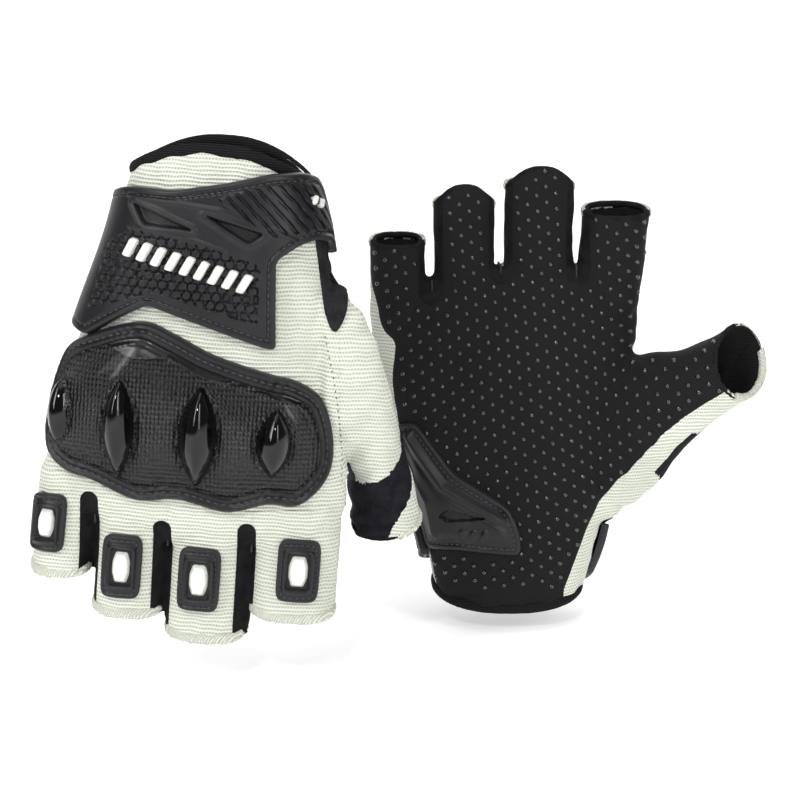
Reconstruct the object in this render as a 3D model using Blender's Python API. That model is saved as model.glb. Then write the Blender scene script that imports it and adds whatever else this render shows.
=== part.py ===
"""A pair of half-finger motorcycle gloves with a moulded knuckle guard.

Both gloves share one shape.  It is described in a glove's own frame, in
millimetres: x points to the thumb side, y to the back of the hand and z from
the cuff to the fingertips.  Glove b stands with its fingers up and shows its
palm; glove a hangs with its fingers down and shows its back.
"""

import math
from collections import namedtuple

import bmesh
import bpy
import numpy as np
from mathutils import Matrix

MM = 0.001                 # one millimetre in metres
GAP = 0.35                 # clearance between neighbouring pieces
PLATE_GAP = 0.9            # clearance between a curved plate and the faceted glove
WALL = 2.0                 # knit and lining together
OVAL = 2.4                 # roundness of the hand and finger sections

# Where each glove stands: its origin is the centre of the cuff opening.
GLOVE_A_PLACE = (-97.5, -75.0, 163.0)
GLOVE_A_LEAN = math.radians(4.5)

# Sections of the hand: height, then ulnar edge x, radial edge x, palm y, back y.
HAND = (
    (-3.0, -26.5, 29.5, -20.5, 20.0),
    (20.0, -30.0, 36.0, -21.0, 20.5),
    (50.0, -37.0, 42.0, -19.5, 19.5),
    (80.0, -45.5, 47.0, -17.5, 18.0),
    (100.0, -48.5, 50.0, -15.5, 16.5),
    (120.0, -49.5, 50.5, -12.5, 14.0),
)
CUFF_LEVEL = 2.0           # height of the cuff edge at the side seams
CUFF_SLANT = 4.0           # how far the back of the cuff is cut away
BINDING_WIDTH = 5.0
SIDE_SEAM = math.radians(97.0)     # where the back panel ends on the ulnar side
THUMB_WINDOW_BACK = math.radians(38.0)  # how far each panel stops short at the thumb
THUMB_WINDOW_PALM = math.radians(47.0)

Finger = namedtuple("Finger", "hinge x_base x_tip w_base w_tip palm_hem back_hem tab")
FINGERS = {
    "a": {
        "little": Finger(108.0, -40.4, -42.0, 19.0, 18.6, 134.0, 137.5, 0.0),
        "ring": Finger(114.0, -18.4, -19.2, 22.8, 22.8, 146.0, 149.5, 8.0),
        "middle": Finger(117.0, 7.3, 6.8, 26.2, 26.2, 152.5, 156.0, 8.0),
        "index": Finger(115.0, 35.2, 34.9, 27.6, 27.8, 142.5, 147.0, 0.0),
    },
    "b": {
        "little": Finger(108.0, -37.6, -38.2, 21.6, 20.6, 132.0, 135.5, 0.0),
        "ring": Finger(114.0, -14.3, -14.7, 22.8, 22.6, 146.0, 149.5, 8.0),
        "middle": Finger(117.0, 13.0, 13.3, 24.8, 24.8, 152.5, 156.0, 8.0),
        "index": Finger(115.0, 39.2, 41.5, 23.6, 24.6, 142.5, 147.0, 0.0),
    },
}
FINGER_AXIS_Y = -2.0       # depth of the finger hinges
FINGER_DEPTH = (12.4, 10.4)        # half thickness at the hinge and at the hem
FLEX = math.radians(46.0)  # palm side of a finger is cut back by this angle
EXTEND = math.radians(11.0)

Station = namedtuple("Station", "upper lower y depth")
THUMB_BASE = Station((47.0, 91.0), (44.0, 39.0), -1.5, 15.5)
THUMB_STATIONS = {
    "a": (
        THUMB_BASE,
        Station((49.5, 95.0), (51.5, 53.0), -5.0, 15.5),
        Station((50.8, 100.0), (59.0, 68.0), -9.0, 14.5),
        Station((51.0, 105.5), (65.5, 85.0), -13.0, 13.0),
        Station((51.5, 112.5), (71.0, 100.0), -17.0, 12.3),
        Station((52.5, 121.5), (75.5, 115.0), -21.0, 12.0),
    ),
    "b": (
        THUMB_BASE,
        Station((51.0, 92.0), (54.0, 42.0), -4.0, 15.5),
        Station((57.0, 92.5), (60.0, 54.0), -7.5, 14.5),
        Station((67.0, 95.0), (75.0, 66.5), -12.0, 13.0),
        Station((76.0, 99.5), (92.0, 80.5), -17.0, 12.0),
    ),
}
THUMB_AXIS_Y = -9.0        # depth of the thumb hinge, near the palm

# Plates on the back and palm: points of an outline as (arc, height).
KNUCKLE_OUTLINE = (
    (-19.0, 54.4), (-7.8, 57.8), (4.2, 63.0), (21.6, 67.8), (31.5, 70.0),
    (40.0, 75.5), (44.5, 87.0), (44.5, 98.0), (40.0, 106.3), (33.6, 110.9),
    (25.0, 110.6), (12.0, 114.0), (-3.7, 111.0), (-17.0, 112.2), (-31.0, 107.2),
    (-41.0, 104.8), (-48.5, 98.0), (-50.0, 82.0), (-46.0, 66.0), (-33.0, 58.5),
)
WELT_WIDTH = 5.5
WELT_HEIGHT = 3.6
DOME_HEIGHT = 4.5          # rise of the knuckle guard above its rim
GUARD_WALL = 2.2
PAD_INSET = 1.6            # from the welt to the foam pad
Bump = namedtuple("Bump", "arc low high width height")
KNUCKLE_BUMPS = (
    Bump(-42.0, 75.6, 96.0, 8.4, 3.6),
    Bump(-21.6, 73.8, 103.8, 12.2, 5.8),
    Bump(2.2, 74.0, 105.3, 15.0, 6.2),
    Bump(24.8, 79.0, 99.7, 11.5, 4.8),
)
HEEL_OUTLINE = (
    (-43.0, 66.0), (-34.0, 67.6), (-21.0, 49.3), (-1.3, 37.0), (2.2, 28.0),
    (2.7, 19.0), (-20.7, 20.6), (-36.0, 18.7), (-40.0, 42.0),
)
HEEL_HEIGHT = 3.2
LOOP_OUTLINE = ((33.0, 22.0), (41.0, 26.0), (44.0, 40.0), (42.5, 52.0), (38.0, 52.0), (34.0, 38.0))
HOOK_OUTLINE = ((33.0, 12.0), (41.0, 15.0), (42.5, 24.0), (40.0, 27.0), (33.5, 24.0))

# Wrist strap: arc, cuff-side edge height, finger-side edge height.
STRAP_EDGES = (
    (-47.0, 20.0, 57.0), (-38.0, 15.5, 60.0), (-27.0, 13.1, 55.0),
    (-18.0, 13.4, 50.3), (3.5, 11.3, 56.0), (17.0, 8.2, 60.0),
    (22.6, 7.8, 60.8), (23.4, 7.8, 33.5), (31.0, 9.0, 29.5),
    (38.0, 13.0, 29.0), (43.5, 20.0, 33.0), (46.0, 25.0, 36.0),
)
STRAP_LIFT = 3.5           # the patches under the strap lie in this space
LOOP_THICKNESS = 0.6
HOOK_THICKNESS = 0.7
STRAP_THICKNESS = 2.6
BADGE_ENDS = ((-26.0, 33.5), (12.0, 41.5))
BADGE_WIDTH = 7.5

CAP_SIZES = {
    "little": (13.0, 18.0, 121.0),
    "ring": (14.6, 21.0, 131.6),
    "middle": (15.0, 21.5, 134.8),
    "index": (15.2, 21.0, 129.8),
}
CAP_HEIGHT = 2.8
INLAY_SHARE = 0.44         # size of a cap's white inlay against the cap

COLOURS = {
    "knit": ((0.62, 0.65, 0.54), 0.85),
    "palm": ((0.020, 0.020, 0.022), 0.75),
    "rubber": ((0.030, 0.030, 0.033), 0.55),
    "gloss": ((0.012, 0.012, 0.013), 0.22),
    "foam": ((0.050, 0.050, 0.055), 0.90),
    "white": ((0.72, 0.74, 0.68), 0.45),
}


def curve(points, at):
    """Smooth curve through rows of (position, values...), read at a position."""
    table = np.array(points, dtype=float)
    where = table[:, 0]
    slopes = np.gradient(table[:, 1:], where, axis=0)
    at = min(max(at, where[0]), where[-1])
    i = min(int(np.searchsorted(where, at, side="right")) - 1, len(where) - 2)
    span = where[i + 1] - where[i]
    t = (at - where[i]) / span
    start = (1 + 2 * t) * (1 - t) ** 2
    end = t * t * (3 - 2 * t)
    bend = span * (t * (1 - t) ** 2 * slopes[i] + t * t * (t - 1) * slopes[i + 1])
    return start * table[i, 1:] + end * table[i + 1, 1:] + bend


def closed_curve(points, steps):
    """Smooth closed loop through points, as steps evenly numbered points."""
    knots = np.array(points, dtype=float)
    count = len(knots)
    loop = []
    for step in range(steps):
        place = step * count / steps
        i = int(place)
        t = place - i
        before, here, after, beyond = (knots[(i + k) % count] for k in (-1, 0, 1, 2))
        loop.append(0.5 * (2 * here + (after - before) * t
                           + (2 * before - 5 * here + 4 * after - beyond) * t * t
                           + (3 * here - before - 3 * after + beyond) * t ** 3))
    return np.array(loop)


def smooth_step(value, low, high):
    share = min(max((value - low) / (high - low), 0.0), 1.0)
    return share * share * (3 - 2 * share)


def hand_section(z):
    """Centre and half sizes of the hand at a height: x, y, half width, half depth."""
    ulnar, radial, palm, back = curve(HAND, z)
    return (ulnar + radial) / 2, (palm + back) / 2, (radial - ulnar) / 2, (back - palm) / 2


def finger_section(finger, z):
    share = (z - finger.hinge) / (finger.back_hem - finger.hinge)
    x = finger.x_base + share * (finger.x_tip - finger.x_base)
    width = finger.w_base + share * (finger.w_tip - finger.w_base)
    depth = FINGER_DEPTH[0] + share * (FINGER_DEPTH[1] - FINGER_DEPTH[0])
    return x, 0.5, width / 2, depth


def signed_power(value, power):
    return math.copysign(abs(value) ** power, value)


def oval_point(section, turn, lift=0.0):
    """Point (x, y) on a section, turned from the middle of the back to the thumb."""
    x, y, a, b = section
    sine = math.sin(turn)
    cosine = math.cos(turn)
    across = signed_power(sine, 2 - 2 / OVAL) / a
    outward = signed_power(cosine, 2 - 2 / OVAL) / b
    length = math.hypot(across, outward)
    return (x + a * signed_power(sine, 2 / OVAL) + lift * across / length,
            y + b * signed_power(cosine, 2 / OVAL) + lift * outward / length)


def turn_at(section, arc):
    """Turn at which the outline's length from the middle of the back is arc."""
    turns = np.linspace(0.0, math.pi, 121)
    points = np.array([oval_point(section, turn) for turn in turns])
    lengths = np.concatenate(([0.0], np.cumsum(np.hypot(*np.diff(points, axis=0).T))))
    return math.copysign(float(np.interp(abs(arc), lengths, turns)), arc)


def on_section(section, arc, z, lift, side):
    """Point above a section's back (side 1) or palm (side -1)."""
    x, y = oval_point(section, turn_at(section, arc), lift)
    if side < 0:
        y = 2 * section[1] - y
    return x, y, z


def on_hand(arc, z, lift, side=1):
    return on_section(hand_section(z), arc, z, lift, side)


def cuff_edge(turn):
    return CUFF_LEVEL + CUFF_SLANT * math.cos(turn)


def knuckle_line(side, x):
    """Height at which the hand ends and the finger stalls begin."""
    line = sorted((finger.x_base, finger.hinge) for finger in FINGERS[side].values())
    return float(np.interp(x, [p[0] for p in line], [p[1] for p in line])) - GAP


def body_mesh(name, outer, inner, around):
    """Closed wall between two grids of points; around joins the last column to the first."""
    outer = np.asarray(outer, dtype=float)
    inner = np.asarray(inner, dtype=float)
    rows, cols = outer.shape[:2]
    bm = bmesh.new()
    sheets = [[[bm.verts.new(tuple(p * MM)) for p in row] for row in grid] for grid in (outer, inner)]
    steps = cols if around else cols - 1
    for sheet in sheets:
        for r in range(rows - 1):
            for c in range(steps):
                n = (c + 1) % cols
                bm.faces.new((sheet[r][c], sheet[r][n], sheet[r + 1][n], sheet[r + 1][c]))
    top, under = sheets
    for r in (0, rows - 1):
        for c in range(steps):
            n = (c + 1) % cols
            bm.faces.new((top[r][c], top[r][n], under[r][n], under[r][c]))
    if not around:
        for c in (0, cols - 1):
            for r in range(rows - 1):
                bm.faces.new((top[r][c], top[r + 1][c], under[r + 1][c], under[r][c]))
    return finished_mesh(bm, name)


def patch_mesh(name, top, under):
    """Closed plate from nested loops of points, outermost first."""
    bm = bmesh.new()
    sheets = [[[bm.verts.new(tuple(np.asarray(p) * MM)) for p in loop] for loop in side]
              for side in (top, under)]
    count = len(top[0])
    for sheet in sheets:
        for outer, inner in zip(sheet, sheet[1:]):
            for c in range(count):
                n = (c + 1) % count
                bm.faces.new((outer[c], outer[n], inner[n], inner[c]))
        centre = bm.verts.new(sum((v.co for v in sheet[-1]), sheet[-1][0].co * 0) / count)
        for c in range(count):
            bm.faces.new((sheet[-1][c], sheet[-1][(c + 1) % count], centre))
    for c in range(count):
        n = (c + 1) % count
        bm.faces.new((sheets[0][0][c], sheets[0][0][n], sheets[1][0][n], sheets[1][0][c]))
    return finished_mesh(bm, name)


def finished_mesh(bm, name):
    bmesh.ops.recalc_face_normals(bm, faces=bm.faces)
    mesh = bpy.data.meshes.new(name)
    bm.to_mesh(mesh)
    bm.free()
    mesh.shade_smooth()
    mesh.set_sharp_from_angle(angle=math.radians(40))
    return mesh


def material(name):
    if name in bpy.data.materials:
        return bpy.data.materials[name]
    colour, roughness = COLOURS[name]
    made = bpy.data.materials.new(name)
    made.use_nodes = True
    shader = made.node_tree.nodes["Principled BSDF"]
    shader.inputs["Base Color"].default_value = (*colour, 1.0)
    shader.inputs["Roughness"].default_value = roughness
    shader.inputs["Metallic"].default_value = 0.0
    return made


class Glove:
    """One glove: an empty at the cuff, and an empty on each hinge axis."""

    def __init__(self, side, matrix):
        self.side = side
        self.joints = {}
        self.root = bpy.data.objects.new(f"glove_frame_{side}", None)
        bpy.context.scene.collection.objects.link(self.root)
        self.root.matrix_world = matrix

    def hinge(self, name, place):
        """Empty on a hinge axis, at a place in the glove's frame."""
        empty = bpy.data.objects.new(f"{name}_hinge_{self.side}", None)
        bpy.context.scene.collection.objects.link(empty)
        empty.parent = self.root
        empty.location = tuple(np.array(place) * MM)
        self.joints[name] = empty

    def add(self, mesh, finish, joint=None):
        """Piece made from a mesh in the glove's frame, on a hinge or on the hand."""
        name = mesh.name.split(".")[0]
        piece = bpy.data.objects.new(f"{name}_{self.side}", mesh)
        bpy.context.scene.collection.objects.link(piece)
        piece.data.materials.append(material(finish))
        piece.parent = self.root
        if joint:
            holder = self.joints[joint]
            mesh.transform(Matrix.Translation(-holder.location))
            piece.parent = holder


def hand_panels(glove):
    """Knit back and black palm: two half shells with a window for the thumb."""
    def wall(turns, lift):
        grid = []
        for share in np.linspace(0.0, 1.0, 8):
            row = []
            for turn_share in np.linspace(0.0, 1.0, 15):
                row.append(panel_point(turns, turn_share, share, lift))
            grid.append(row)
        return grid

    def panel_point(turns, turn_share, share, lift):
        turn = turns(0.0, turn_share)
        low = cuff_edge(turn) + BINDING_WIDTH
        tip_x, _ = oval_point(hand_section(112.0), turn)
        z = low + share * (knuckle_line(glove.side, tip_x) - low)
        turn = turns(z, turn_share)
        x, y = oval_point(hand_section(z), turn, lift)
        return x, y, z

    def window(z, widest):
        return widest * smooth_step(z, 26.0, 38.0) * (1 - smooth_step(z, 90.0, 100.0))

    seam_gap = math.radians(1.0)
    half_turn = math.pi / 2

    def back(z, share):
        start = -SIDE_SEAM + seam_gap
        return start + share * (half_turn - seam_gap - window(z, THUMB_WINDOW_BACK) - start)

    def palm(z, share):
        start = half_turn + seam_gap + window(z, THUMB_WINDOW_PALM)
        return start + share * (2 * math.pi - SIDE_SEAM - seam_gap - start)

    glove.add(body_mesh("back_panel", wall(back, 0.0), wall(back, -WALL), False), "knit")
    glove.add(body_mesh("palm_panel", wall(palm, 0.0), wall(palm, -WALL), False), "palm")


def cuff_binding(glove):
    """Folded tape around the cuff edge."""
    def band(lift):
        rows = []
        for rise in (0.0, BINDING_WIDTH - GAP):
            row = []
            for turn in np.linspace(0.0, 2 * math.pi, 28, endpoint=False):
                z = cuff_edge(turn) + rise
                row.append((*oval_point(hand_section(z), turn, lift), z))
            rows.append(row)
        return rows
    glove.add(body_mesh("cuff_binding", band(0.8), band(-WALL - 0.8), True), "palm")


def finger_stalls(glove):
    """Open tubes for the four fingers, each on its own hinge."""
    for name, finger in FINGERS[glove.side].items():
        glove.hinge(name, (finger.x_base, FINGER_AXIS_Y, finger.hinge))
        walls = [stall_wall(glove.side, finger, lift) for lift in (0.0, -WALL)]
        glove.add(body_mesh(f"{name}_stall", *walls, True), "knit", name)


def stall_wall(side, finger, lift):
    grid = []
    for share in (0.0, 0.5, 1.0):
        row = []
        for turn in np.linspace(0.0, 2 * math.pi, 20, endpoint=False):
            low = stall_base(side, finger, turn)
            z = low + share * (stall_hem(finger, turn) - low)
            row.append((*oval_point(finger_section(finger, z), turn, lift), z))
        grid.append(row)
    return grid


def stall_base(side, finger, turn):
    """A stall starts off the hand's edge by the wedge that bending needs."""
    x, y = oval_point(finger_section(finger, finger.hinge), turn)
    limit = EXTEND if y > FINGER_AXIS_Y else FLEX
    wedge = abs(y - FINGER_AXIS_Y) * math.tan(limit)
    step = max(knuckle_line(side, x) + GAP - finger.hinge, 0.0) / math.cos(limit)
    return finger.hinge + GAP + wedge + step


def stall_hem(finger, turn):
    """Hem height: the back is longer, and two fingers have a tab on the palm side."""
    middle = (finger.palm_hem + finger.back_hem) / 2
    slant = (finger.back_hem - finger.palm_hem) / 2
    return middle + slant * math.cos(turn) + finger.tab * max(-math.cos(turn), 0.0) ** 2


def finger_webs(glove):
    """Fourchettes: black strips between neighbouring fingers."""
    fingers = FINGERS[glove.side]
    names = list(fingers)
    crotches = (119.0, 125.0, 125.0)
    half = 0.25
    for lower, upper, crotch in zip(names, names[1:], crotches):
        left = fingers[lower]
        right = fingers[upper]
        x = (left.x_base + left.w_base / 2 + right.x_base - right.w_base / 2) / 2
        low = min(left.hinge, right.hinge) - 6.0
        sides = [[[(x + off, y, z) for y in (-9.5, 0.0, 9.5)] for z in (low, crotch)]
                 for off in (-half, half)]
        glove.add(body_mesh(f"{lower}_{upper}_fourchette", *sides, False), "palm")


def thumb_stall(glove):
    """Wide-based tube for the thumb, hinged along its root."""
    stations = THUMB_STATIONS[glove.side]
    upper = np.array((THUMB_BASE.upper[0], THUMB_AXIS_Y, THUMB_BASE.upper[1]))
    lower = np.array((THUMB_BASE.lower[0], THUMB_AXIS_Y, THUMB_BASE.lower[1]))
    glove.hinge("thumb", (upper + lower) / 2)
    outer = thumb_wall(stations, 0.0)
    inner = thumb_wall(stations, WALL)
    glove.add(body_mesh("thumb_stall", outer, inner, True), "knit", "thumb")
    patch = [[[thumb_point(stations, row, turn, -lift) for turn in np.linspace(-0.9, 0.9, 7)]
              for row in np.linspace(len(stations) - 2.4, len(stations) - 1.3, 4)]
             for lift in (GAP + 0.9, GAP)]
    glove.add(body_mesh("thumb_patch", *patch, False), "rubber", "thumb")


def thumb_wall(stations, inset):
    rows = np.linspace(0.0, len(stations) - 1, 2 * len(stations) - 1)
    turns = np.linspace(0.0, 2 * math.pi, 18, endpoint=False)
    return [[thumb_point(stations, row, turn, inset) for turn in turns] for row in rows]


def thumb_point(stations, row, turn, inset):
    """Point on the thumb: row counts stations, turn 0 is the back, a quarter the outer edge."""
    upper, lower, y, depth = thumb_frame(stations, row)
    ahead = thumb_frame(stations, min(row + 0.1, len(stations) - 1))
    behind = thumb_frame(stations, max(row - 0.1, 0.0))
    along = (ahead[0] + ahead[1] - behind[0] - behind[1]) / 2
    along[1] = ahead[2] - behind[2]
    along /= np.linalg.norm(along)
    centre = (upper + lower) / 2
    centre[1] = y
    width = (lower - upper) / 2
    half = np.linalg.norm(width)
    width /= half
    back = np.cross(along, width)
    back /= np.linalg.norm(back)
    return (centre + width * (half - inset) * math.sin(turn)
            + back * (depth - inset) * math.cos(turn))


def thumb_frame(stations, row):
    table = [(i, *s.upper, *s.lower, s.y, s.depth) for i, s in enumerate(stations)]
    ux, uz, lx, lz, y, depth = curve(table, row)
    return np.array((ux, 0.0, uz)), np.array((lx, 0.0, lz)), y, depth


def inset_loop(loop, share):
    """Loop drawn in towards its middle by a share of its size."""
    middle = loop.mean(axis=0)
    return middle + (loop - middle) * (1 - share)


def offset_loop(loop, distance):
    """Loop moved inwards by a distance; the loop may run either way round."""
    tangent = np.roll(loop, -1, axis=0) - np.roll(loop, 1, axis=0)
    normal = np.stack((-tangent[:, 1], tangent[:, 0]), axis=1)
    normal /= np.linalg.norm(normal, axis=1, keepdims=True)
    area = np.sum(loop[:, 0] * np.roll(loop[:, 1], -1) - np.roll(loop[:, 0], -1) * loop[:, 1])
    return loop + math.copysign(distance, area) * normal


def plate_on_hand(name, loop, rings, top, under, side=1):
    """Plate over an outline; top and under give its height above the glove."""
    shares = np.linspace(0.0, 0.8, rings)
    loops = [inset_loop(loop, share) for share in shares]
    faces = [[[on_hand(arc, z, height(arc, z), side) for arc, z in ring] for ring in loops]
             for height in (top, under)]
    return patch_mesh(name, *faces)


def bump_height(arc, z):
    """Height of the four pointed knuckle bumps above the guard's dome."""
    height = 0.0
    for bump in KNUCKLE_BUMPS:
        along = (2 * z - bump.low - bump.high) / (bump.high - bump.low)
        if abs(along) < 1:
            across = (arc - bump.arc) / (bump.width / 2 * (1 - along * along))
            height += bump.height * (1 - along * along) * max(1 - across * across, 0.0)
    return height


def knuckle_guard(glove):
    """Foam pad, hard domed shell and the welt that is stitched around it."""
    outline = closed_curve(KNUCKLE_OUTLINE, 40)
    rim = offset_loop(outline, WELT_WIDTH)
    welt = [[[on_hand(arc, z, lift) for arc, z in loop] for loop in (outline, rim)]
            for lift in (WELT_HEIGHT, PLATE_GAP)]
    glove.add(body_mesh("knuckle_guard_welt", *welt, True), "rubber")
    edge = offset_loop(outline, WELT_WIDTH + GAP)
    middle = edge.mean(axis=0)
    reach = np.abs(edge - middle).max(axis=0)

    def dome(arc, z):
        rest = 1 - ((arc - middle[0]) / reach[0]) ** 2 * 0.5 - ((z - middle[1]) / reach[1]) ** 2 * 0.5
        return WELT_HEIGHT + DOME_HEIGHT * max(rest, 0.0)

    def shell_top(arc, z):
        return dome(arc, z) + bump_height(arc, z)

    def shell_under(arc, z):
        return dome(arc, z) - GUARD_WALL

    def pad_top(arc, z):
        return shell_under(arc, z) - GAP

    guard = plate_on_hand("knuckle_guard", edge, 6, shell_top, shell_under)
    pad_edge = offset_loop(outline, WELT_WIDTH + PAD_INSET)[::2]
    pad = plate_on_hand("knuckle_pad", pad_edge, 5, pad_top, flat(PLATE_GAP))
    glove.add(guard, "gloss")
    glove.add(pad, "foam")


def flat(height):
    return lambda _arc, _z: height


def heel_guard(glove):
    """Moulded pad on the heel of the palm."""
    outline = closed_curve(HEEL_OUTLINE, 27)
    plate = plate_on_hand("palm_heel_guard", outline, 3, flat(HEEL_HEIGHT), flat(PLATE_GAP), side=-1)
    glove.add(plate, "rubber")


def wrist_strap(glove):
    """Moulded strap over the back of the wrist, with its badge and fastener patches."""
    arc, low, high = STRAP_EDGES[0]
    edge = np.array([on_hand(arc, z, STRAP_LIFT) for z in (low, high)])
    glove.hinge("strap", edge.mean(axis=0))
    glove.add(patch_of("loop_patch", LOOP_OUTLINE, PLATE_GAP, PLATE_GAP + LOOP_THICKNESS), "foam")
    hook_top = STRAP_LIFT - 2 * GAP
    hook = patch_of("strap_hook_patch", HOOK_OUTLINE, hook_top - HOOK_THICKNESS, hook_top)
    glove.add(hook, "foam", "strap")
    lifts = (STRAP_LIFT + STRAP_THICKNESS, STRAP_LIFT)
    strap = [[[on_hand(arc, low + share * (high - low), lift) for arc, low, high in strap_columns()]
              for share in (0.0, 0.33, 0.67, 1.0)] for lift in lifts]
    glove.add(body_mesh("wrist_strap", *strap, False), "rubber", "strap")
    (arc_0, z_0), (arc_1, z_1) = BADGE_ENDS
    base = STRAP_LIFT + STRAP_THICKNESS + GAP
    badge = [[[on_hand(arc_0 + share * (arc_1 - arc_0), z_0 + share * (z_1 - z_0) + off, lift)
               for share in np.linspace(0.0, 1.0, 9)]
              for off in (-BADGE_WIDTH / 2, BADGE_WIDTH / 2)] for lift in (base + 1.4, base)]
    glove.add(body_mesh("strap_badge", *badge, False), "white", "strap")


def patch_of(name, outline, under, top):
    return plate_on_hand(name, closed_curve(outline, 20), 3, flat(top), flat(under))


def strap_columns():
    """Strap edges with the long spans divided, so that the strap follows the wrist."""
    columns = []
    for (arc_0, low_0, high_0), (arc_1, low_1, high_1) in zip(STRAP_EDGES, STRAP_EDGES[1:]):
        parts = max(1, round((arc_1 - arc_0) / 6.0))
        for part in range(parts):
            share = part / parts
            columns.append((arc_0 + share * (arc_1 - arc_0),
                            low_0 + share * (low_1 - low_0),
                            high_0 + share * (high_1 - high_0)))
    columns.append(STRAP_EDGES[-1])
    return columns


def rounded_box(width, length, steps, corner=4.0):
    """Loop of a box with softly rounded corners, around (0, 0)."""
    loop = []
    for turn in np.linspace(0.0, 2 * math.pi, steps, endpoint=False):
        loop.append((width / 2 * signed_power(math.sin(turn), 2 / corner),
                     length / 2 * signed_power(math.cos(turn), 2 / corner)))
    return np.array(loop)


def finger_caps(glove):
    """Rubber frame on the back of each finger, with a white inlay in it."""
    for name, (width, length, z_middle) in CAP_SIZES.items():
        finger = FINGERS[glove.side][name]
        place = np.array((0.0, z_middle))
        outline = rounded_box(width, length, 24) + place
        hole = rounded_box(width * INLAY_SHARE + 2 * GAP, length * INLAY_SHARE + 2 * GAP, 24) + place
        inlay = rounded_box(width * INLAY_SHARE, length * INLAY_SHARE, 12) + place

        def lifted(loop, lift):
            return [on_section(finger_section(finger, z), arc, z, lift, 1) for arc, z in loop]

        frame = [[lifted(outline, lift), lifted(hole, lift)] for lift in (CAP_HEIGHT, PLATE_GAP)]
        glove.add(body_mesh(f"{name}_cap", *frame, True), "rubber", name)
        stone = [[lifted(inlay, lift)] for lift in (CAP_HEIGHT + 0.8, PLATE_GAP)]
        glove.add(patch_mesh(f"{name}_cap_inlay", *stone), "white", name)


def build_glove(side, matrix):
    glove = Glove(side, matrix)
    hand_panels(glove)
    cuff_binding(glove)
    finger_stalls(glove)
    finger_webs(glove)
    thumb_stall(glove)
    knuckle_guard(glove)
    heel_guard(glove)
    wrist_strap(glove)
    finger_caps(glove)


def main():
    for thing in list(bpy.data.objects):
        bpy.data.objects.remove(thing, do_unlink=True)
    place = Matrix.Translation([value * MM for value in GLOVE_A_PLACE])
    lean = Matrix.Rotation(GLOVE_A_LEAN, 4, "Y")
    upside_down = Matrix.Rotation(math.pi, 4, "X")
    build_glove("a", place @ lean @ upside_down)
    build_glove("b", Matrix.Identity(4))


main()
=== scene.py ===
"""Looks of a pair of half-finger riding gloves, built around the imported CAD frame.

Shapes are worked out in a glove's own frame in millimetres, as in the CAD: x to
the thumb side, y to the back of the hand, z from the cuff to the fingertips.
"""

import math
from collections import namedtuple

import bmesh
import bpy
import numpy as np
from mathutils import Matrix, Vector
from mathutils.bvhtree import BVHTree


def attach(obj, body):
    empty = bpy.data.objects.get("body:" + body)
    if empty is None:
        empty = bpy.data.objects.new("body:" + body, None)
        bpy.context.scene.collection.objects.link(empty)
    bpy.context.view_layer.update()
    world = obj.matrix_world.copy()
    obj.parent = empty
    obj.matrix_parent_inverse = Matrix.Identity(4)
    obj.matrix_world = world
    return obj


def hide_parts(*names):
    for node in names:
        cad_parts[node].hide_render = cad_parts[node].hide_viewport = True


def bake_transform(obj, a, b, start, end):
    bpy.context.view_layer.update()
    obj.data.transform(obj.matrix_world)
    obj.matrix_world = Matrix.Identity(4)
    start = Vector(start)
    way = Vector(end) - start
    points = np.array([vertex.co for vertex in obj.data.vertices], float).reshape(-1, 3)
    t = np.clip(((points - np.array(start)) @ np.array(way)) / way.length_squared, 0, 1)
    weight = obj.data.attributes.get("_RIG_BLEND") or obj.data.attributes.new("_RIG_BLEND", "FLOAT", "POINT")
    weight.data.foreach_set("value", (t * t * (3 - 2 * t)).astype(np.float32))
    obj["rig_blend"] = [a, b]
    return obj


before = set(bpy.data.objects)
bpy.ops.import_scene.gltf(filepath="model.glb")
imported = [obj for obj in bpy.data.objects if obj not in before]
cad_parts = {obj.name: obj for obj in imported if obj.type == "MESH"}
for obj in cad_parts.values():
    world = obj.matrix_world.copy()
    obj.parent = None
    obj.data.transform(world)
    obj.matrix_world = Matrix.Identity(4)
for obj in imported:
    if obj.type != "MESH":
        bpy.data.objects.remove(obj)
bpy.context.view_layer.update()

MM = 0.001
OVAL = 2.4

GLOVE_A_PLACE = (-97.5, -75.0, 163.0)
GLOVE_A_LEAN = math.radians(4.5)
SIDES = {
    "a": (Matrix.Translation([v * MM for v in GLOVE_A_PLACE])
          @ Matrix.Rotation(GLOVE_A_LEAN, 4, "Y") @ Matrix.Rotation(math.pi, 4, "X")),
    "b": Matrix.Identity(4),
}

# ---------------------------------------------------------------- driving shapes

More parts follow.
